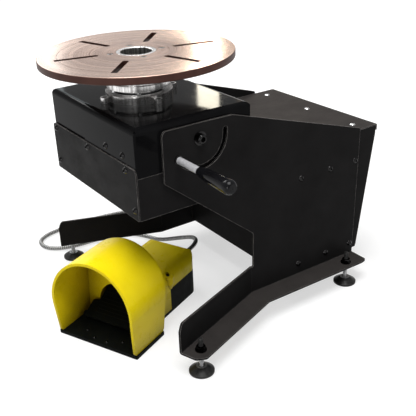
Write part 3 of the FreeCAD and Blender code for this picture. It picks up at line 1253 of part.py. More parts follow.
def pedal_base():
    """Cast base: the tray under the foot, the floor of the neck and the open box for the switch."""
    w = TRAY_HALF_W + 2
    n = BODY_HALF_W
    tray = slab([(-w, 0, 3), (w, 0, 3), (w, HOOD_LEN, 3), (-w, HOOD_LEN, 3)], flat_xy(0), V(0, 0, TRAY_T))
    back = slab([(-w + 8, HOOD_LEN - 10, 0), (w - 8, HOOD_LEN - 10, 0), (w - 8, HOOD_LEN + HOOD_STEP, 2),
                 (-w + 8, HOOD_LEN + HOOD_STEP, 2)], flat_xy(0), V(0, 0, TRAY_T))
    floor = slab([(-n, HOOD_LEN, 0), (n, HOOD_LEN, 0), (n, BODY_END, BODY_CORNER_R),
                  (-n, BODY_END, BODY_CORNER_R)], flat_xy(0), V(0, 0, TRAY_T))
    walls = slab([(-n, BODY_SIDE_START, 1), (n, BODY_SIDE_START, 1), (n, BODY_END, BODY_CORNER_R),
                  (-n, BODY_END, BODY_CORNER_R)], flat_xy(0), V(0, 0, BODY_SPLIT_Z))
    k = n - BODY_WALL
    r = BODY_CORNER_R - BODY_WALL
    pocket = slab([(-k, BODY_SIDE_START + BODY_WALL, 1), (k, BODY_SIDE_START + BODY_WALL, 1),
                   (k, BODY_END - BODY_WALL, r), (-k, BODY_END - BODY_WALL, r)],
                  flat_xy(TRAY_T), V(0, 0, BODY_SPLIT_Z))
    bosses = [cyl(7, BODY_SPLIT_Z - TRAY_T, V(sx * BOSS_X, BODY_SIDE_START + 7, TRAY_T)) for sx in (-1, 1)]
    lug_in = TREADLE_HALF_W + 1
    lugs = []
    for sx in (-1, 1):
        corners = [(TREADLE_PIN_Y - 8, TRAY_T - 1, 0), (TREADLE_PIN_Y + 8, TRAY_T - 1, 0),
                   (TREADLE_PIN_Y + 7, TREADLE_PIN_Z + 7, 6), (TREADLE_PIN_Y - 7, TREADLE_PIN_Z + 7, 6)]
        lug = slab(corners, side_yz(lug_in), V(6, 0, 0))
        lugs.append(lug if sx > 0 else mirrored(lug))
    base = fused([tray, back, floor, walls.cut(pocket)] + bosses + lugs)
    pin_start = V(-lug_in - 10, TREADLE_PIN_Y, TREADLE_PIN_Z)
    base = base.cut(cyl(TREADLE_PIN_R + FIXED_GAP, 2 * lug_in + 20, pin_start, X_AXIS))
    for x, y, z in tray_screw_places():
        base = base.cut(cyl(2.0 + FIXED_GAP, 7, V(x, y, z - 7)))
    for x, y, z in cover_screw_places():
        base = base.cut(cyl(2.5 + FIXED_GAP, 30, V(x, y, BODY_SPLIT_Z - 30)))
    return on_pedal(base)


def pedal_treadle():
    """Treadle hinged at its heel: a ribbed plate, narrow where it runs into the neck."""
    w = TREADLE_HALF_W
    n = BODY_HALF_W - BODY_WALL - 4
    low = 3.0
    wide = TREADLE_WIDE_END - TREADLE_PIN_Y
    end = TREADLE_REAR - TREADLE_PIN_Y
    plate = slab([(-w, -9, 4), (w, -9, 4), (w, wide, 6), (n, wide + 3, 3), (n, end, 8), (-n, end, 8),
                  (-n, wide + 3, 3), (-w, wide, 6)], flat_xy(low), V(0, 0, TREADLE_T))
    face = low + TREADLE_T
    ribs = [box(-n + 6, n - 6, y, y + 3, face - 0.5, face + 1.0) for y in range(8, int(end) - 6, 9)]
    knuckles = []
    for x in (-w + 12, -12, w - 36):
        drum = cyl(TREADLE_PIN_R + 3.5, 24, V(x, 0, 0), X_AXIS)
        knuckles.append(drum)
        knuckles.append(box(x, x + 24, -TREADLE_PIN_R - 3, TREADLE_PIN_R + 3, 0, low + 1))
    skirt = [box(sx * n - 2, sx * n + 2, wide + 5, end - 8, low - 5, low + 1) for sx in (-0.96, 0.96)]
    treadle = fused([plate] + ribs + knuckles + skirt)
    treadle = treadle.cut(cyl(TREADLE_PIN_R + RUNNING_GAP, 2 * w + 20, V(-w - 10, 0, 0), X_AXIS))
    treadle.rotate(V(0, 0, 0), X_AXIS, TREADLE_TILT)
    treadle.translate(V(0, TREADLE_PIN_Y, TREADLE_PIN_Z))
    return on_pedal(treadle)


def treadle_pin():
    reach = TREADLE_HALF_W + 8.5
    pin = cyl(TREADLE_PIN_R, 2 * reach, V(-reach, TREADLE_PIN_Y, TREADLE_PIN_Z), X_AXIS)
    return on_pedal(pin)


def treadle_underside(y, tilt):
    """Height of the treadle's underside at y, when it leans by tilt degrees."""
    a = math.radians(tilt)
    return TREADLE_PIN_Z + (y - TREADLE_PIN_Y) * math.tan(a) + 3.0 / math.cos(a)


def treadle_spring():
    """Coil spring that lifts the treadle again."""
    y = TREADLE_SPRING_Y
    wire_r = 1.0
    length = treadle_underside(y - 8, TREADLE_TILT) - TRAY_T - 2 * wire_r - 2 * SKIN_GAP
    coil = Part.makeHelix(length / 5, length, 7.0)
    circle = Part.Wire(Part.makeCircle(wire_r, V(7.0, 0, 0), Y_AXIS))
    spring = Part.Wire(coil).makePipeShell([circle], True, True)
    spring.translate(V(0, y, TRAY_T + wire_r + SKIN_GAP))
    return on_pedal(spring)


def pedal_switch():
    """Limit switch under the treadle's toe end, with its plunger."""
    y = TREADLE_SWITCH_Y
    stop = treadle_underside(y - 4, TREADLE_TILT - TREADLE_TRAVEL) - 1.0
    body = slab([(-22, y - 8, 1.5), (22, y - 8, 1.5), (22, y + 8, 1.5), (-22, y + 8, 1.5)],
                flat_xy(TRAY_T), V(0, 0, stop - TRAY_T - 3.5))
    plunger = cyl(3, 4, V(0, y, stop - 4))
    return on_pedal(fused([body, plunger]))


# ---- conduit -------------------------------------------------------------------------------------

CONDUIT_POINTS = [
    (-10.8, 105.7, 84.0),
    (-29.6, 146.5, 84.0),
    (-82.0, 172.0, 72.0),
    (-146.0, 162.0, 44.0),
    (-210.0, 146.0, 16.0),
    (-266.0, 140.0, 4.0),
    (-312.0, 114.0, 4.0),
    (-334.0, 66.0, 4.0),
    (-341.0, 12.0, 4.0),
    (-343.0, -44.0, 4.0),
    (-356.0, -88.0, 4.0),
    (-384.0, -116.0, 4.0),
    (-424.0, -116.0, 4.0),
    (-452.0, -88.0, 4.0),
    (-463.0, -40.0, 4.0),
    (-466.0, 30.0, 4.0),
    (-460.0, 110.0, 4.0),
    (-440.0, 186.0, 4.0),
    (-408.0, 264.0, 4.0),
    (-368.0, 344.0, 4.0),
    (-318.0, 424.0, 4.0),
    (-256.0, 488.0, 4.0),
    (-190.0, 536.0, 4.0),
    (-128.0, 566.0, 16.0),
    (-80.0, 578.0, 54.0),
    (-60.0, 546.6, 102.2),
    (-60.0, 496.8, 108.9),
]


def conduit(points, r):
    """Round conduit of straight runs joined by tangent arcs, each as wide as its two runs allow."""
    points = [V(*p) for p in points]
    edges = []
    radii = []
    start = points[0]
    for before, here, after in zip(points, points[1:], points[2:]):
        back = before - here
        ahead = after - here
        half_turn = (math.pi - back.getAngle(ahead)) / 2
        cut = 0.45 * min(back.Length, ahead.Length)
        radius = cut / math.tan(half_turn)
        radii.append(round(radius))
        a = here + back.normalize() * cut
        b = here + ahead.normalize() * cut
        middle = (back + ahead).normalize()
        crown = here + middle * (radius / math.cos(half_turn) - radius)
        edges.append(Part.makeLine(start, a))
        edges.append(Part.Arc(a, crown, b).toShape())
        start = b
    edges.append(Part.makeLine(start, points[-1]))
    path = Part.Wire(edges)
    circle = Part.Wire(Part.makeCircle(r, points[0], points[1] - points[0]))
    print("conduit: length", round(path.Length), "bend radii", radii)
    return path.makePipeShell([circle], True, False)


def pedal_conduit():
    return conduit(CONDUIT_POINTS, CONDUIT_R)


NODES = {
    "table_disc": table_disc,
    "table_screws": table_screws,
    "table_hub": table_hub,
    "flange_screws": flange_screws,
    "spindle": spindle,
    "spindle_gear": spindle_gear,
    "spindle_locknut": spindle_locknut,
    "pinion": pinion,
    "bearing_housing": bearing_housing,
    "housing_bolts": housing_bolts,
    "housing_seal": housing_seal,
    "upper_bearing": lambda: bearing(BEARING_TOP_Z),
    "lower_bearing": lambda: bearing(BEARING_LOW_Z),
    "carrier_frame": carrier_frame,
    "head_cover_right": head_cover_right,
    "head_cover_left": head_cover_left,
    "head_tub": head_tub,
    "head_front_panel": head_front_panel,
    "head_screws": head_screws,
    "pivot_bolts": pivot_bolts,
    "thrust_washers": thrust_washers,
    "gear_motor": gear_motor,
    "earth_brush_holder": earth_brush_holder,
    "earth_brush": earth_brush,
    "clamp_rod": clamp_rod,
    "clamp_washer": clamp_washer,
    "clamp_grip": clamp_grip,
    "side_plate_right": side_plate_right,
    "side_plate_left": side_plate_left,
    "pivot_bushes": pivot_bushes,
    "plate_screws": plate_screws,
    "cabinet_body": cabinet_body,
    "cabinet_cover": cabinet_cover,
    "cabinet_cover_screws": cabinet_cover_screws,
    "cabinet_rear_panel": cabinet_rear_panel,
    "rear_panel_screws": rear_panel_screws,
    "mains_inlet": mains_inlet,
    "rocker_frame": rocker_frame,
    "power_rocker": power_rocker,
    "panel_controls": panel_controls,
    "speed_knob": speed_knob,
    "direction_toggle": direction_toggle,
    "earth_socket": earth_socket,
    "conduit_glands": conduit_glands,
    "power_supply": power_supply,
    "control_board": control_board,
    "foot_front_right": lambda: levelling_foot(*FRONT_FOOT),
    "foot_rear_right": lambda: levelling_foot(*REAR_FOOT),
    "foot_front_left": lambda: levelling_foot(-FRONT_FOOT[0], FRONT_FOOT[1]),
    "foot_rear_left": lambda: levelling_foot(-REAR_FOOT[0], REAR_FOOT[1]),
    "levelling_nuts": levelling_nuts,
    "pedal_base": pedal_base,
    "pedal_hood": pedal_hood,
    "pedal_cover": pedal_cover,
    "pedal_screws": pedal_screws,
    "pedal_treadle": pedal_treadle,
    "treadle_pin": treadle_pin,
    "treadle_spring": treadle_spring,
    "pedal_switch": pedal_switch,
    "pedal_conduit": pedal_conduit,
}


def main():
    os.makedirs("parts", exist_ok=True)
    for name, make in NODES.items():
        shape = make()
        shape.exportStep(f"parts/{name}.step")
        state = "valid" if shape.isValid() else "INVALID"
        print(name, len(shape.Solids), "solids", round(shape.Volume / 1000, 1), "cm3", state)


if __name__ == "__main__":
    main()
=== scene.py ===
"""Looks for the welding positioner: finishes for every CAD node, the spiral conduit, the floor, the
light and the camera. Metres, in the frame of the CAD model: +Z up, floor at Z = 0."""

import json
import math

import bpy
from mathutils import Matrix, Vector

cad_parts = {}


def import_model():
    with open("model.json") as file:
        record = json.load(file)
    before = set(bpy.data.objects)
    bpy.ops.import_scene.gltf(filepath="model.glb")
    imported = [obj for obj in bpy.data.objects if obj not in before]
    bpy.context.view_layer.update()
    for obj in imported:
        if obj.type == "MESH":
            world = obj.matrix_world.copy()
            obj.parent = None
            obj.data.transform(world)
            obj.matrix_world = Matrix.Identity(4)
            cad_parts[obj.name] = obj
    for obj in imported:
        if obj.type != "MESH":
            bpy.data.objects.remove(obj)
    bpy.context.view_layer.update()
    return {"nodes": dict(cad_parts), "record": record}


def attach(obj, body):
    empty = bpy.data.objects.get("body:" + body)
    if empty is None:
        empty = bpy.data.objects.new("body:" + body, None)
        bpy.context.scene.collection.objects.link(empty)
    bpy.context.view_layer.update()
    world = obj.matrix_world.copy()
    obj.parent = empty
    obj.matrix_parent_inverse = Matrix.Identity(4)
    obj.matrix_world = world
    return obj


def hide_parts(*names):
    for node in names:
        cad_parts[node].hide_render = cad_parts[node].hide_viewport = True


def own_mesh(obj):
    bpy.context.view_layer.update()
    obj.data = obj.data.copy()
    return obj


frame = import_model()

MM = 0.001
WHITE = (1, 1, 1, 1)


# ---- material graphs -----------------------------------------------------------------------------

def scaled(colour, factor, lift=0.0):
    """The colour times factor, plus lift, no channel above 1."""
    return [min(channel * factor + lift, 1) for channel in colour]


# sockets of the Mix node while it mixes colours
COLOUR_A = 6
COLOUR_B = 7
COLOUR_RESULT = 2


class Graph:
    """A node tree with short ways to add nodes to it."""

    def __init__(self, tree):
        self.tree = tree

    def node(self, kind, settings=None, **inputs):
        """A new node with these settings, and with a value or a link in each named input."""
        node = self.tree.nodes.new(kind)
        for key, value in (settings or {}).items():
            setattr(node, key, value)
        for key, value in inputs.items():
            self.put(value, node.inputs[key])
        return node

    def put(self, value, socket):
        """Link value to the socket if it is another node's output, or else set it there."""
        if isinstance(value, bpy.types.NodeSocket):
            self.tree.links.new(value, socket)
        else:
            socket.default_value = value

    def math(self, operation, a, b=0.5, clamp=False):
        """The result of one sum; b goes unused where the operation takes one number."""
        node = self.node("ShaderNodeMath", {"operation": operation, "use_clamp": clamp})
        self.put(a, node.inputs[0])
        self.put(b, node.inputs[1])
        return node.outputs[0]

    def vector(self, operation, a, b=(0, 0, 0)):
        """The node of one vector operation, whose output is called Vector or Value."""
        node = self.node("ShaderNodeVectorMath", {"operation": operation})
        self.put(a, node.inputs[0])
        self.put(b, node.inputs[1])
        return node

    def span(self, value, low, high, to_low=0.0, to_high=1.0, easing="LINEAR"):
        """Map value from low..high to to_low..to_high, clamped."""
        node = self.node("ShaderNodeMapRange", {"clamp": True, "interpolation_type": easing})
        ends = {"Value": value, "From Min": low, "From Max": high, "To Min": to_low, "To Max": to_high}
        for key, end in ends.items():
            self.put(end, node.inputs[key])
        return node.outputs["Result"]


class Surface(Graph):
    """A Principled material with short ways to add texture to it."""

    def __init__(self, name, colour, roughness, metallic=0.0):
        self.material = bpy.data.materials.new(name)
        self.material.use_nodes = True
        super().__init__(self.material.node_tree)
        self.shader = self.tree.nodes["Principled BSDF"]
        self.shader.inputs["Base Color"].default_value = (*colour, 1)
        self.shader.inputs["Roughness"].default_value = roughness
        self.shader.inputs["Metallic"].default_value = metallic
        self.coordinates = self.node("ShaderNodeTexCoord")
        self.coords = self.coordinates.outputs["Object"]
        self.relief = None

    def noise(self, size, detail=3.0, roughness=0.5, stretch=None):
        """Noise whose blobs are about size metres across; stretch scales the space first."""
        place = self.coords
        if stretch:
            place = self.vector("MULTIPLY", place, stretch).outputs["Vector"]
        node = self.node("ShaderNodeTexNoise", Vector=place, Scale=1 / size, Detail=detail,
                         Roughness=roughness)
        return node.outputs["Fac"]

    def line_noise(self, along, size, detail=3.0):
        """Noise along one coordinate, with bands about size wide."""
        node = self.node("ShaderNodeTexNoise", {"noise_dimensions": "1D"}, W=along, Scale=1 / size,
                         Detail=detail)
        return node.outputs["Fac"]

    def cells(self, size):
        """Distance to the middle of cells about size metres across."""
        return self.node("ShaderNodeTexVoronoi", Vector=self.coords, Scale=1 / size).outputs["Distance"]

    def place(self):
        """The point's X, Y and Z outputs, in metres."""
        return self.node("ShaderNodeSeparateXYZ", Vector=self.coords).outputs

    def blend(self, share, a, b):
        """Colour a where share is 0, b where it is 1."""
        node = self.node("ShaderNodeMix", {"data_type": "RGBA"})
        self.put(share, node.inputs["Factor"])
        for value, socket in ((a, node.inputs[COLOUR_A]), (b, node.inputs[COLOUR_B])):
            self.put(value if isinstance(value, bpy.types.NodeSocket) else (*value, 1), socket)
        return node.outputs[COLOUR_RESULT]

    def edges(self, radius, strength):
        """1 along sharp outer and inner edges, 0 on the flats."""
        rounded = self.node("ShaderNodeBevel", {"samples": 6}, Radius=radius).outputs["Normal"]
        flat = self.node("ShaderNodeNewGeometry").outputs["Normal"]
        same = self.vector("DOT_PRODUCT", rounded, flat).outputs["Value"]
        return self.math("MULTIPLY", self.math("SUBTRACT", 1.0, same), strength, clamp=True)

    def openness(self, reach):
        """1 out in the open, falling towards 0 deep inside hollows: the mask of painted shade in hollows."""
        return self.node("ShaderNodeAmbientOcclusion", {"samples": 8}, Distance=reach).outputs["AO"]

    def faces_up(self):
        """1 on the faces that look up, on the object as it is made."""
        split = self.node("ShaderNodeSeparateXYZ", Vector=self.coordinates.outputs["Normal"])
        return self.span(split.outputs["Z"], 0.80, 0.98)

    def colour(self, value):
        self.put(value, self.shader.inputs["Base Color"])

    def rough(self, value):
        self.put(value, self.shader.inputs["Roughness"])

    def metal(self, value):
        self.put(value, self.shader.inputs["Metallic"])

    def bump(self, height, distance, strength):
        """Raise the surface by height (0 to 1) times distance metres, on top of earlier bumps."""
        node = self.node("ShaderNodeBump", Height=height, Distance=distance, Strength=strength)
        if self.relief is not None:
            self.put(self.relief, node.inputs["Normal"])
        self.relief = node.outputs["Normal"]
        self.put(self.relief, self.shader.inputs["Normal"])

    def level(self, value):
        """Specular level: how much light the surface mirrors, 0.5 being common plastic."""
        self.shader.inputs["Specular IOR Level"].default_value = value


# where nearly all of a noise's values lie, and where the middle of them does
MOST = (0.3, 0.7)
CORE = (0.35, 0.65)

# grey layer of shop dust plus painted top light on the powder-coated faces that look up, and how much rougher
# the dust makes them
DUST_AND_TOP_LIGHT = (0.0400, 0.03584, 0.03392)
FILM_DULLS = 0.15


def powder_coat(name, colour, edge_colour, roughness=0.42):
    """Semi-gloss powder coat: fine orange peel, faint cloudiness, rubbed edges with a painted edge highlight,
    and shop dust with painted top light on faces that look up.
    """
    s = Surface(name, colour, roughness)
    s.level(0.022)
    cloud = s.span(s.noise(90 * MM, 4, 0.6), *MOST)
    speck = s.span(s.noise(1.6 * MM, 2, 0.7), 0.66, 0.78, 0.0, 0.25)
    # rubbed edge wear and a painted edge highlight: sharp edges are made lighter
    rub_and_edge_highlight = s.math("MULTIPLY", s.edges(1.6 * MM, 7.0), s.span(s.noise(12 * MM, 4, 0.65), 0.30, 0.60, 0.25, 1.0))
    # painted top light mixed with dust: faces that look up are made lighter
    painted_light_tone = s.math("MULTIPLY", s.faces_up(), s.span(s.noise(60 * MM, 5, 0.65), 0.25, 0.7, 0.55, 1.0))
    base = s.blend(cloud, scaled(colour, 0.85), scaled(colour, 1.25))
    base = s.blend(speck, base, scaled(colour, 2.2, 0.004))
    base = s.blend(painted_light_tone, base, DUST_AND_TOP_LIGHT)
    s.colour(s.blend(rub_and_edge_highlight, base, edge_colour))
    smear = s.noise(50 * MM, 5, 0.7, stretch=(1.0, 0.5, 1.6))
    gloss = s.span(smear, *MOST, roughness - 0.10, roughness + 0.10)
    s.rough(s.math("ADD", gloss, s.math("MULTIPLY", painted_light_tone, FILM_DULLS)))
    s.bump(s.noise(2.2 * MM, 2, 0.5), 0.05 * MM, 0.55)
    return s.material


def gloss_coat(name, colour):
    """Glossy coat with wide, soft waviness and fine wiping marks."""
    s = Surface(name, colour, 0.08)
    s.level(0.024)
    s.colour(s.blend(s.span(s.noise(120 * MM), *CORE), scaled(colour, 0.8), scaled(colour, 1.3)))
    wipe = s.noise(20 * MM, 4, 0.7, stretch=(0.25, 1.0, 1.0))
    s.rough(s.span(wipe, 0.35, 0.7, 0.05, 0.12))
    s.bump(s.noise(6 * MM, 2, 0.4), 0.02 * MM, 0.4)
    return s.material


TURNED_ROUGHNESS = 0.27
TURNED_SPREAD = 0.07
REFLECTION_STREAKS_PER_RADIAN = 6.5


def lathe_turned(name, dark, light, groove, anisotropy, shaded_rim=None, top_z=None, reflection_streaks=None):
    """Turned metal: grooves in circles about the table's axis, with tone and gloss varying by ring.

    Where a rim colour is given, everything below the top face takes that darker colour: painted shade on the
    side. With a streak colour, upright faces get painted reflection streaks of that tone round the axis.
    """
    s = Surface(name, light, TURNED_ROUGHNESS, 1.0)
    place = s.place()
    flat = s.node("ShaderNodeCombineXYZ", X=place["X"], Y=place["Y"])
    radius = s.vector("LENGTH", flat.outputs["Vector"]).outputs["Value"]
    across = s.math("ADD", radius, place["Z"])
    fine = s.line_noise(across, groove)
    broad = s.line_noise(across, groove * 22, 2.0)
    cloud = s.noise(70 * MM, 4, 0.6)
    tone = s.math("ADD", s.math("MULTIPLY", broad, 0.6), s.math("MULTIPLY", cloud, 0.4))
    base = s.blend(s.span(tone, *CORE), dark, light)
    base = s.blend(s.span(fine, 0.62, 0.8, 0.0, 0.35), base, scaled(light, 1.25))
    gloss = s.span(fine, *MOST, TURNED_ROUGHNESS - TURNED_SPREAD, TURNED_ROUGHNESS + TURNED_SPREAD)
    # painted shade: everything below the table's top face takes the darker rim colour
    if shaded_rim:
        on_top = s.span(place["Z"], top_z - 0.5 * MM, top_z - 0.1 * MM)
        painted_light_tone = s.blend(s.span(cloud, *CORE), shaded_rim, scaled(shaded_rim, 1.5))
        base = s.blend(on_top, painted_light_tone, base)
        s.level(0.1)
        s.metal(s.span(on_top, 0, 1, 0.25, 1.0))
        gloss = s.math("ADD", gloss, s.span(on_top, 0, 1, 0.12, 0.0))
    # painted reflection streaks: dark bands round the axis on upright faces
    if reflection_streaks:
        reflection_band = s.line_noise(s.math("ARCTAN2", place["Y"], place["X"]), 1 / REFLECTION_STREAKS_PER_RADIAN)
        upright = s.math("SUBTRACT", 1.0, s.faces_up())
        base = s.blend(s.math("MULTIPLY", upright, s.span(reflection_band, 0.42, 0.60, 0.0, 0.8)), base, reflection_streaks)
    s.colour(base)
    s.rough(gloss)
    s.bump(fine, 0.012 * MM, 0.5)
    s.shader.inputs["Anisotropic"].default_value = anisotropy
    tangent = s.node("ShaderNodeTangent", {"direction_type": "RADIAL", "axis": "Z"})
    s.put(tangent.outputs["Tangent"], s.shader.inputs["Tangent"])
    return s.material


def machined(name, colour, roughness, stain=0.25):
    """Plain machined or plated metal with small tone changes and handling marks."""
    s = Surface(name, colour, roughness, 1.0)
    patch = s.span(s.noise(8 * MM, 4, 0.6), *CORE)
    base = s.blend(patch, scaled(colour, 1 - stain), scaled(colour, 1.12))
    s.colour(s.blend(s.math("MULTIPLY", s.edges(0.4 * MM, 5), 0.5), base, scaled(colour, 1.4)))
    s.rough(s.span(s.noise(3 * MM, 4, 0.7), *MOST, roughness - 0.09, roughness + 0.13))
    s.bump(s.noise(0.7 * MM, 2, 0.6), 0.008 * MM, 0.4)
    return s.material


def plastic(name, colour, roughness, grain=0.9 * MM, depth=0.03 * MM, level=0.3):
    """Moulded plastic with a fine grain, faint flow marks and paler edges."""
    s = Surface(name, colour, roughness)
    s.level(level)
    flow = s.span(s.noise(30 * MM), *MOST)
    base = s.blend(flow, scaled(colour, 0.8), scaled(colour, 1.25))
    s.colour(s.blend(s.math("MULTIPLY", s.edges(0.6 * MM, 4), 0.35), base, scaled(colour, 2.2, 0.01)))
    s.rough(s.span(s.noise(20 * MM, 4, 0.7), *MOST, roughness - 0.07, roughness + 0.1))
    s.bump(s.noise(grain, 2, 0.6), depth, 0.6)
    return s.material


def enamel(name, colour, shade, hollow_shade, edge_colour):
    """Thick signal enamel: deeper where it pools, painted brown shade in hollows, a slight orange peel, tiny
    edge chips.
    """
    s = Surface(name, colour, 0.30)
    s.level(0.12)
    base = s.blend(s.span(s.noise(60 * MM, 4, 0.55), *MOST), shade, colour)
    dust = s.span(s.noise(1.3 * MM, 3, 0.7), 0.70, 0.8, 0.0, 0.08)
    base = s.blend(dust, base, scaled(colour, 0.45))
    # painted shade: a darker brown colour deep inside hollows such as the hood's inside
    base = s.blend(s.span(s.openness(100 * MM), 0.30, 0.80), hollow_shade, base)
    chips = s.math("MULTIPLY", s.edges(0.8 * MM, 6), s.span(s.noise(7 * MM, 5, 0.7), 0.56, 0.64))
    s.colour(s.blend(chips, base, edge_colour))
    s.rough(s.span(s.noise(35 * MM, 4, 0.65), *MOST, 0.22, 0.40))
    s.bump(s.noise(3 * MM, 2, 0.5), 0.06 * MM, 0.5)
    return s.material


PAD_TOP_Z = 15 * MM
STUD_BLACK_FROM = 44 * MM
STUD_THREAD_PITCH = 1.5 * MM


def foot_finish():
    """Levelling foot: black moulded pad, zinc-plated stud with its thread in the bump, blackened end."""
    s = Surface("foot_finish", (0.02, 0.02, 0.02), 0.4)
    s.level(0.15)
    z = s.place()["Z"]
    stud = s.span(z, PAD_TOP_Z - 0.1 * MM, PAD_TOP_Z + 0.1 * MM)
    grime = s.noise(10 * MM, 4, 0.7)
    pad = s.blend(s.span(grime, 0.35, 0.7), (0.012, 0.012, 0.012), (0.035, 0.034, 0.033))
    zinc = s.blend(s.span(s.noise(4 * MM), *CORE), (0.40, 0.40, 0.41), (0.66, 0.66, 0.66))
    plated = s.math("MULTIPLY", stud, s.span(z, STUD_BLACK_FROM, STUD_BLACK_FROM + 0.5 * MM, 1.0, 0.0))
    s.colour(s.blend(plated, pad, zinc))
    s.metal(plated)
    s.rough(s.span(grime, *MOST, 0.26, 0.46))
    turns = s.math("SINE", s.math("MULTIPLY", z, 2 * math.pi / STUD_THREAD_PITCH))
    s.bump(s.math("MULTIPLY", turns, stud), 0.35 * MM, 0.8)
    s.bump(s.noise(1.2 * MM, 2), 0.02 * MM, 0.5)
    return s.material


ROD_RING_PITCH = 2.4 * MM


def rod_finish():
    """Satin rod of the clamp lever: fine turned rings across its length."""
    s = Surface("satin_rod", (0.66, 0.66, 0.68), 0.42, 0.45)
    patch = s.noise(6 * MM, 3, 0.6)
    rings = s.math("SINE", s.math("MULTIPLY", s.place()["X"], 2 * math.pi / ROD_RING_PITCH))
    base = s.blend(s.span(patch, *CORE), (0.60, 0.60, 0.62), (0.72, 0.72, 0.74))
    s.colour(s.blend(s.span(rings, 0.55, 0.95, 0.0, 0.45), base, (0.30, 0.30, 0.31)))
    s.rough(s.span(patch, *MOST, 0.36, 0.5))
    s.bump(rings, 0.12 * MM, 0.6)
    return s.material


def conduit_finish(name, dark, light, roughness):
    """Galvanised strip of the wound conduit."""
    s = Surface(name, light, roughness, 1.0)
    s.colour(s.blend(s.span(s.noise(6 * MM, 4, 0.7), *MOST), dark, light))
    s.rough(s.span(s.noise(3 * MM, 3, 0.7), *MOST, roughness - 0.09, roughness + 0.11))
    s.bump(s.noise(0.6 * MM, 2), 0.01 * MM, 0.5)
    return s.material


def board_finish():
    """Green circuit board with raised tracks."""
    s = Surface("board_green", (0.03, 0.16, 0.07), 0.35)
    tracks = s.span(s.cells(6 * MM), 0.25, 0.32)
    s.colour(s.blend(tracks, (0.06, 0.26, 0.12), (0.02, 0.12, 0.05)))
    s.bump(tracks, 0.03 * MM, 0.5)
    return s.material


TABLE_TOP_Z = 586 * MM

# one finish for each material slot of the part's record
FINISHES = {
    "black_sheet": powder_coat("powder_black", (0.0120, 0.0115, 0.0116), edge_colour=(0.26, 0.245, 0.235)),
    "black_gloss": gloss_coat("gloss_black", (0.006, 0.006, 0.0065)),
    "turned_face": lathe_turned("turned_face", (0.54, 0.37, 0.30), (0.74, 0.52, 0.42), groove=0.9 * MM,
                                anisotropy=0.55, shaded_rim=(0.050, 0.023, 0.018), top_z=TABLE_TOP_Z),
    "bright_steel": lathe_turned("bright_steel", (0.66, 0.65, 0.64), (0.88, 0.87, 0.86), groove=0.6 * MM,
                                 anisotropy=0.85, reflection_streaks=(0.22, 0.215, 0.21)),
    "dark_steel": machined("dark_steel", (0.13, 0.125, 0.12), 0.42),
    "black_fastener": machined("black_oxide", (0.024, 0.0235, 0.0235), 0.12),
    "zinc_fastener": machined("zinc_plate", (0.60, 0.60, 0.60), 0.24),
    "bearing_steel": machined("bearing_steel", (0.66, 0.66, 0.67), 0.15, stain=0.1),
    "seal_rubber": plastic("seal_rubber", (0.012, 0.012, 0.012), 0.6),
    "bronze": machined("bronze", (0.48, 0.31, 0.14), 0.35),
    "motor_casting": powder_coat("motor_grey", (0.16, 0.17, 0.18), edge_colour=(0.5, 0.5, 0.5), roughness=0.5),
    "copper_graphite": machined("copper_graphite", (0.35, 0.20, 0.13), 0.5),
    "insulator": plastic("insulator_brown", (0.20, 0.06, 0.03), 0.45),
    "black_plastic": plastic("moulded_black", (0.014, 0.014, 0.014), 0.42),
    "grip_plastic": plastic("grip_gloss", (0.005, 0.005, 0.006), 0.10, grain=3 * MM, depth=0.02 * MM,
                            level=0.14),
    "signal_yellow": enamel("signal_yellow", (0.92, 0.73, 0.010), shade=(0.86, 0.665, 0.006),
                            hollow_shade=(0.1564, 0.0949, 0.002), edge_colour=(0.10, 0.09, 0.07)),
    "pedal_black": plastic("pedal_black", (0.0042, 0.0050, 0.0045), 0.5, grain=1.2 * MM, depth=0.12 * MM,
                           level=0.03),
    "conduit_steel": conduit_finish("conduit_zinc", (0.20, 0.20, 0.195), (0.42, 0.42, 0.41), 0.34),
    "circuit_board": board_finish(),
    "galvanised": machined("galvanised", (0.42, 0.43, 0.44), 0.45, stain=0.35),
    "spring_steel": machined("spring_steel", (0.30, 0.30, 0.31), 0.3),
}
FOOT = foot_finish()
ROD = rod_finish()
# painted shade in the conduit's groove: near-black colour on the groove's faces
GROOVE_SHADE = conduit_finish("conduit_groove_shade", (0.02, 0.02, 0.02), (0.06, 0.06, 0.058), 0.55)

SMOOTH_BELOW = math.radians(32)


def dress_nodes():
    """Give every CAD node the finish of its slot, and the feet and the clamp's rod one of their own."""
    slot_of = {part["node"]: part["material_slot"] for part in frame["record"]["subparts"]}
    for name, obj in frame["nodes"].items():
        if name.startswith("foot_"):
            finish = FOOT
        elif name == "clamp_rod":
            finish = ROD
        else:
            finish = FINISHES[slot_of[name]]
        obj.data.materials.clear()
        obj.data.materials.append(finish)
        for polygon in obj.data.polygons:
            polygon.material_index = 0


def smooth_nodes():
    """Shade round faces smooth and keep sharp folds sharp."""
    for obj in frame["nodes"].values():
        bpy.context.view_layer.objects.active = obj
        obj.select_set(True)
        bpy.ops.object.shade_smooth_by_angle(angle=SMOOTH_BELOW)
        obj.select_set(False)


def press_spring():
    """Give the treadle's spring a mesh of its own, apart from the CAD data."""
    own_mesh(frame["nodes"]["treadle_spring"])


# ---- conduit -------------------------------------------------------------------------------------

CONDUIT_R = 5.4 * MM
CONDUIT_PITCH = 5.6 * MM
CONDUIT_STEP = 0.7 * MM         # between two rings of the mesh
CONDUIT_SIDES = 18
CROWN_SHARE = 0.76              # of each winding; the rest is groove
CROWN_FOOT_R = 0.94             # as shares of the full radius
GROOVE_R = 0.84
GROOVE_SHADE_FROM = 0.72       # of each winding, so that the painted groove shade covers the groove's flank too
ROUTE_STEPS = 24                # points of the spline between two of the route's points

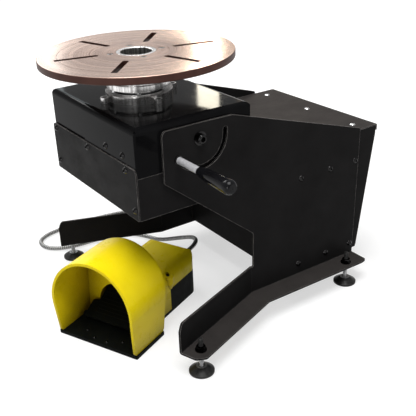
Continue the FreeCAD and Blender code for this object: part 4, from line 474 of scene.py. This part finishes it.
# the same route as the solid conduit's, from the back of the pedal to the rear panel
CONDUIT_POINTS = [
    (-0.0108, 0.1057, 0.084),
    (-0.0296, 0.1465, 0.084),
    (-0.082, 0.172, 0.072),
    (-0.146, 0.162, 0.044),
    (-0.210, 0.146, 0.016),
    (-0.266, 0.140, 0.0055),
    (-0.312, 0.114, 0.0055),
    (-0.334, 0.066, 0.0055),
    (-0.341, 0.012, 0.0055),
    (-0.343, -0.044, 0.0055),
    (-0.356, -0.088, 0.0055),
    (-0.384, -0.116, 0.0055),
    (-0.424, -0.116, 0.0055),
    (-0.450, -0.088, 0.0055),
    (-0.461, -0.040, 0.0055),
    (-0.4635, 0.030, 0.0055),
    (-0.458, 0.110, 0.0055),
    (-0.440, 0.186, 0.0055),
    (-0.408, 0.264, 0.0055),
    (-0.368, 0.344, 0.0055),
    (-0.318, 0.424, 0.0055),
    (-0.256, 0.488, 0.0055),
    (-0.190, 0.536, 0.0055),
    (-0.128, 0.564, 0.016),
    (-0.080, 0.576, 0.054),
    (-0.060, 0.5466, 0.1022),
    (-0.060, 0.4968, 0.1089),
]


def smooth_line(points):
    """Points along the NURBS spline that has the route's points as its control points."""
    curve = bpy.data.curves.new("route", "CURVE")
    curve.dimensions = "3D"
    curve.resolution_u = ROUTE_STEPS
    spline = curve.splines.new("NURBS")
    spline.points.add(len(points) - 1)
    for point, place in zip(spline.points, points):
        point.co = (*place, 1)
    spline.order_u = 3
    spline.use_endpoint_u = True
    holder = bpy.data.objects.new("route", curve)
    bpy.context.scene.collection.objects.link(holder)
    bpy.context.view_layer.update()
    mesh = bpy.data.meshes.new_from_object(holder.evaluated_get(bpy.context.evaluated_depsgraph_get()))
    line = [vertex.co.copy() for vertex in mesh.vertices]
    bpy.data.objects.remove(holder)
    bpy.data.meshes.remove(mesh)
    return line


def resampled(line, step):
    """The same line with points an even step apart, and its length."""
    lengths = [0.0]
    for a, b in zip(line, line[1:]):
        lengths.append(lengths[-1] + (b - a).length)
    total = lengths[-1]
    count = round(total / step)
    even = []
    k = 0
    for i in range(count + 1):
        at = total * i / count
        while k < len(line) - 2 and lengths[k + 1] < at:
            k += 1
        share = (at - lengths[k]) / (lengths[k + 1] - lengths[k])
        even.append(line[k].lerp(line[k + 1], share))
    return even, total


def winding(ring, side):
    """How far the strip is through its winding, 0 to 1, at one side of one ring of the mesh."""
    return (ring * CONDUIT_STEP / CONDUIT_PITCH + side / CONDUIT_SIDES) % 1.0


def strip_radius(turn):
    """Radius of the strip-wound conduit over one winding: a rounded crown, then a groove."""
    if turn > CROWN_SHARE:
        return CONDUIT_R * GROOVE_R
    rise = math.sin(math.pi * turn / CROWN_SHARE) ** 0.6
    return CONDUIT_R * (CROWN_FOOT_R + (1 - CROWN_FOOT_R) * rise)


def conduit_rings(line):
    """The mesh's points: one ring round each point of the line, turned no more than the line turns."""
    rings = []
    side = Vector((0, 0, 1)).cross(line[1] - line[0]).normalized()
    for i, here in enumerate(line):
        ahead = (line[min(i + 1, len(line) - 1)] - line[max(i - 1, 0)]).normalized()
        side = (side - ahead * side.dot(ahead)).normalized()
        up = ahead.cross(side)
        for k in range(CONDUIT_SIDES):
            r = strip_radius(winding(i, k))
            angle = 2 * math.pi * (k / CONDUIT_SIDES)
            rings.append(here + side * (r * math.cos(angle)) + up * (r * math.sin(angle)))
    return rings


def spiral_conduit():
    """Strip-wound metal conduit from the pedal to the rear panel, in place of the solid tube."""
    line, length = resampled(smooth_line(CONDUIT_POINTS), CONDUIT_STEP)
    spans = [(i, k) for i in range(len(line) - 1) for k in range(CONDUIT_SIDES)]
    faces = []
    for i, k in spans:
        a = i * CONDUIT_SIDES + k
        b = i * CONDUIT_SIDES + (k + 1) % CONDUIT_SIDES
        faces.append((a, b, b + CONDUIT_SIDES, a + CONDUIT_SIDES))
    last = (len(line) - 1) * CONDUIT_SIDES
    faces.append(tuple(reversed(range(CONDUIT_SIDES))))
    faces.append(tuple(range(last, last + CONDUIT_SIDES)))
    mesh = bpy.data.meshes.new("spiral_conduit")
    mesh.from_pydata(conduit_rings(line), [], faces)
    mesh.polygons.foreach_set("use_smooth", [True] * len(mesh.polygons))
    mesh.materials.append(FINISHES["conduit_steel"])
    mesh.materials.append(GROOVE_SHADE)
    # faces in the groove take the painted groove shade
    for polygon, (i, k) in zip(mesh.polygons, spans):
        if winding(i, k + 0.5) > GROOVE_SHADE_FROM:
            polygon.material_index = 1
    conduit = bpy.data.objects.new("spiral_conduit", mesh)
    bpy.context.scene.collection.objects.link(conduit)
    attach(conduit, "base")
    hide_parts("pedal_conduit")


# ---- stage ---------------------------------------------------------------------------------------

FLOOR_SIZE = 14
FLOOR_Z = -0.5 * MM
FLOOR_LIFT = (0.60, 0.90)       # glow that makes the floor white behind the object: near it, and far away
LIFT_NEAR = 0.7
LIFT_FAR = 2.4
HORIZON_WHITE = math.radians(4)     # height up to which reflections see a white wall
HORIZON_DARK = math.radians(14)     # height from which they see the ceiling
CEILING = 0.55                      # its brightness in reflections
SKY_LIGHT = 0.20                    # what the surroundings shine on the object


def past_the_object(graph):
    """1 for the rays that show the background: camera, mirror and see-through rays."""
    path = graph.node("ShaderNodeLightPath")
    seen = graph.math("MAXIMUM", path.outputs["Is Camera Ray"], path.outputs["Is Glossy Ray"])
    return graph.math("MAXIMUM", seen, path.outputs["Is Transmission Ray"])


def floor_material():
    """Pale grey for the light that falls on it, and white for the rays that show the background."""
    s = Surface("floor_white", (0.44, 0.44, 0.44), 0.75)
    s.level(0.1)
    s.colour(s.blend(s.noise(0.8), (0.43, 0.43, 0.43), (0.46, 0.46, 0.46)))
    distance = s.vector("LENGTH", s.coords).outputs["Value"]
    lift = s.math("MULTIPLY", past_the_object(s), s.span(distance, LIFT_NEAR, LIFT_FAR, *FLOOR_LIFT))
    s.put(WHITE, s.shader.inputs["Emission Color"])
    s.put(lift, s.shader.inputs["Emission Strength"])
    return s.material


def stage():
    """Plain pale floor that the camera sees as white but that keeps the object's shadow."""
    bpy.ops.mesh.primitive_plane_add(size=FLOOR_SIZE, location=(0, 0, FLOOR_Z))
    floor = bpy.context.object
    floor.name = "floor"
    floor.data.materials.append(floor_material())


def world():
    """Soft grey light from all round. Past the object it is white, and dimmer overhead in reflections."""
    sky = bpy.data.worlds.new("studio")
    bpy.context.scene.world = sky
    sky.use_nodes = True
    graph = Graph(sky.node_tree)
    light = sky.node_tree.nodes["Background"]
    graph.put(WHITE, light.inputs["Color"])
    graph.put(SKY_LIGHT, light.inputs["Strength"])
    toward = graph.node("ShaderNodeTexCoord").outputs["Generated"]
    height = graph.node("ShaderNodeSeparateXYZ", Vector=toward).outputs["Z"]
    wall = graph.span(height, math.sin(HORIZON_WHITE), math.sin(HORIZON_DARK), 1.0, CEILING,
                      easing="SMOOTHSTEP")
    camera_ray = graph.node("ShaderNodeLightPath").outputs["Is Camera Ray"]
    seen = graph.node("ShaderNodeBackground", Color=WHITE, Strength=graph.math("MAXIMUM", wall, camera_ray))
    mix = graph.node("ShaderNodeMixShader", Fac=past_the_object(graph))
    graph.put(light.outputs["Background"], mix.inputs[1])
    graph.put(seen.outputs["Background"], mix.inputs[2])
    graph.put(mix.outputs["Shader"], sky.node_tree.nodes["World Output"].inputs["Surface"])


def softbox(name, place, target, size, power, tint=(1, 1, 1)):
    """Rectangular lamp at place, aimed at target; size in metres, power in watts."""
    lamp = bpy.data.lights.new(name, "AREA")
    lamp.color = tint
    lamp.shape = "RECTANGLE"
    lamp.size, lamp.size_y = size
    lamp.energy = power
    holder = bpy.data.objects.new(name, lamp)
    holder.location = place
    holder.rotation_euler = (Vector(target) - Vector(place)).to_track_quat("-Z", "Y").to_euler()
    bpy.context.scene.collection.objects.link(holder)


def lights():
    """Large boxes that light the object, and small ones that its glossy faces mirror."""
    softbox("key", (-2.2, -0.5, 2.5), (0, -0.1, 0.2), (1.6, 1.6), 58)
    softbox("top", (0.8, -0.4, 3.1), (0.1, -0.1, 0.2), (1.8, 1.8), 92)
    softbox("fill", (2.8, 0.9, 1.8), (0, 0.1, 0.3), (1.6, 1.6), 5)
    softbox("left_window", (-2.15, 0.42, 1.20), (0, -0.1, 0.58), (0.60, 0.8), 3.2, tint=(0.86, 0.97, 1.0))
    softbox("strip", (-1.70, 1.34, 1.12), (0.05, 0.13, 0.494), (0.11, 0.28), 1.7, tint=(1.0, 0.93, 0.76))
    softbox("warm_wall", (-1.55, 1.80, 1.22), (0.1, 0.2, 0.45), (0.62, 1.0), 1.1, tint=(1.0, 0.70, 0.42))
    softbox("front_card", (1.30, -1.80, 0.80), (0, 0, 0.5), (0.16, 0.7), 7.0)


CAMERA_PLACE = (1.2715, -0.7002, 0.9221)
CAMERA_AZIMUTH = math.radians(57.8)
CAMERA_ELEVATION = math.radians(28.1)
CAMERA_ROLL = math.radians(-2.8)
CAMERA_LENS = 61.7
CAMERA_SENSOR = 36
CAMERA_SHIFT = (0.049, 0.077)


def camera():
    """The camera, looking down at the front and right of the machine and rolled a little."""
    outward = math.cos(CAMERA_ELEVATION)
    back = Vector((math.sin(CAMERA_AZIMUTH) * outward, -math.cos(CAMERA_AZIMUTH) * outward,
                   math.sin(CAMERA_ELEVATION)))
    level = Vector((0, 0, 1)).cross(back).normalized()
    upright = back.cross(level)
    right = level * math.cos(CAMERA_ROLL) + upright * math.sin(CAMERA_ROLL)
    up = upright * math.cos(CAMERA_ROLL) - level * math.sin(CAMERA_ROLL)
    lens = bpy.data.cameras.new("camera")
    lens.lens = CAMERA_LENS
    lens.sensor_width = CAMERA_SENSOR
    lens.shift_x, lens.shift_y = CAMERA_SHIFT
    holder = bpy.data.objects.new("camera", lens)
    holder.matrix_world = Matrix.Translation(CAMERA_PLACE) @ Matrix((right, up, back)).transposed().to_4x4()
    bpy.context.scene.collection.objects.link(holder)
    bpy.context.scene.camera = holder


dress_nodes()
smooth_nodes()
press_spring()
spiral_conduit()
stage()
world()
lights()
camera()
bpy.context.scene.view_settings.view_transform = "Standard"
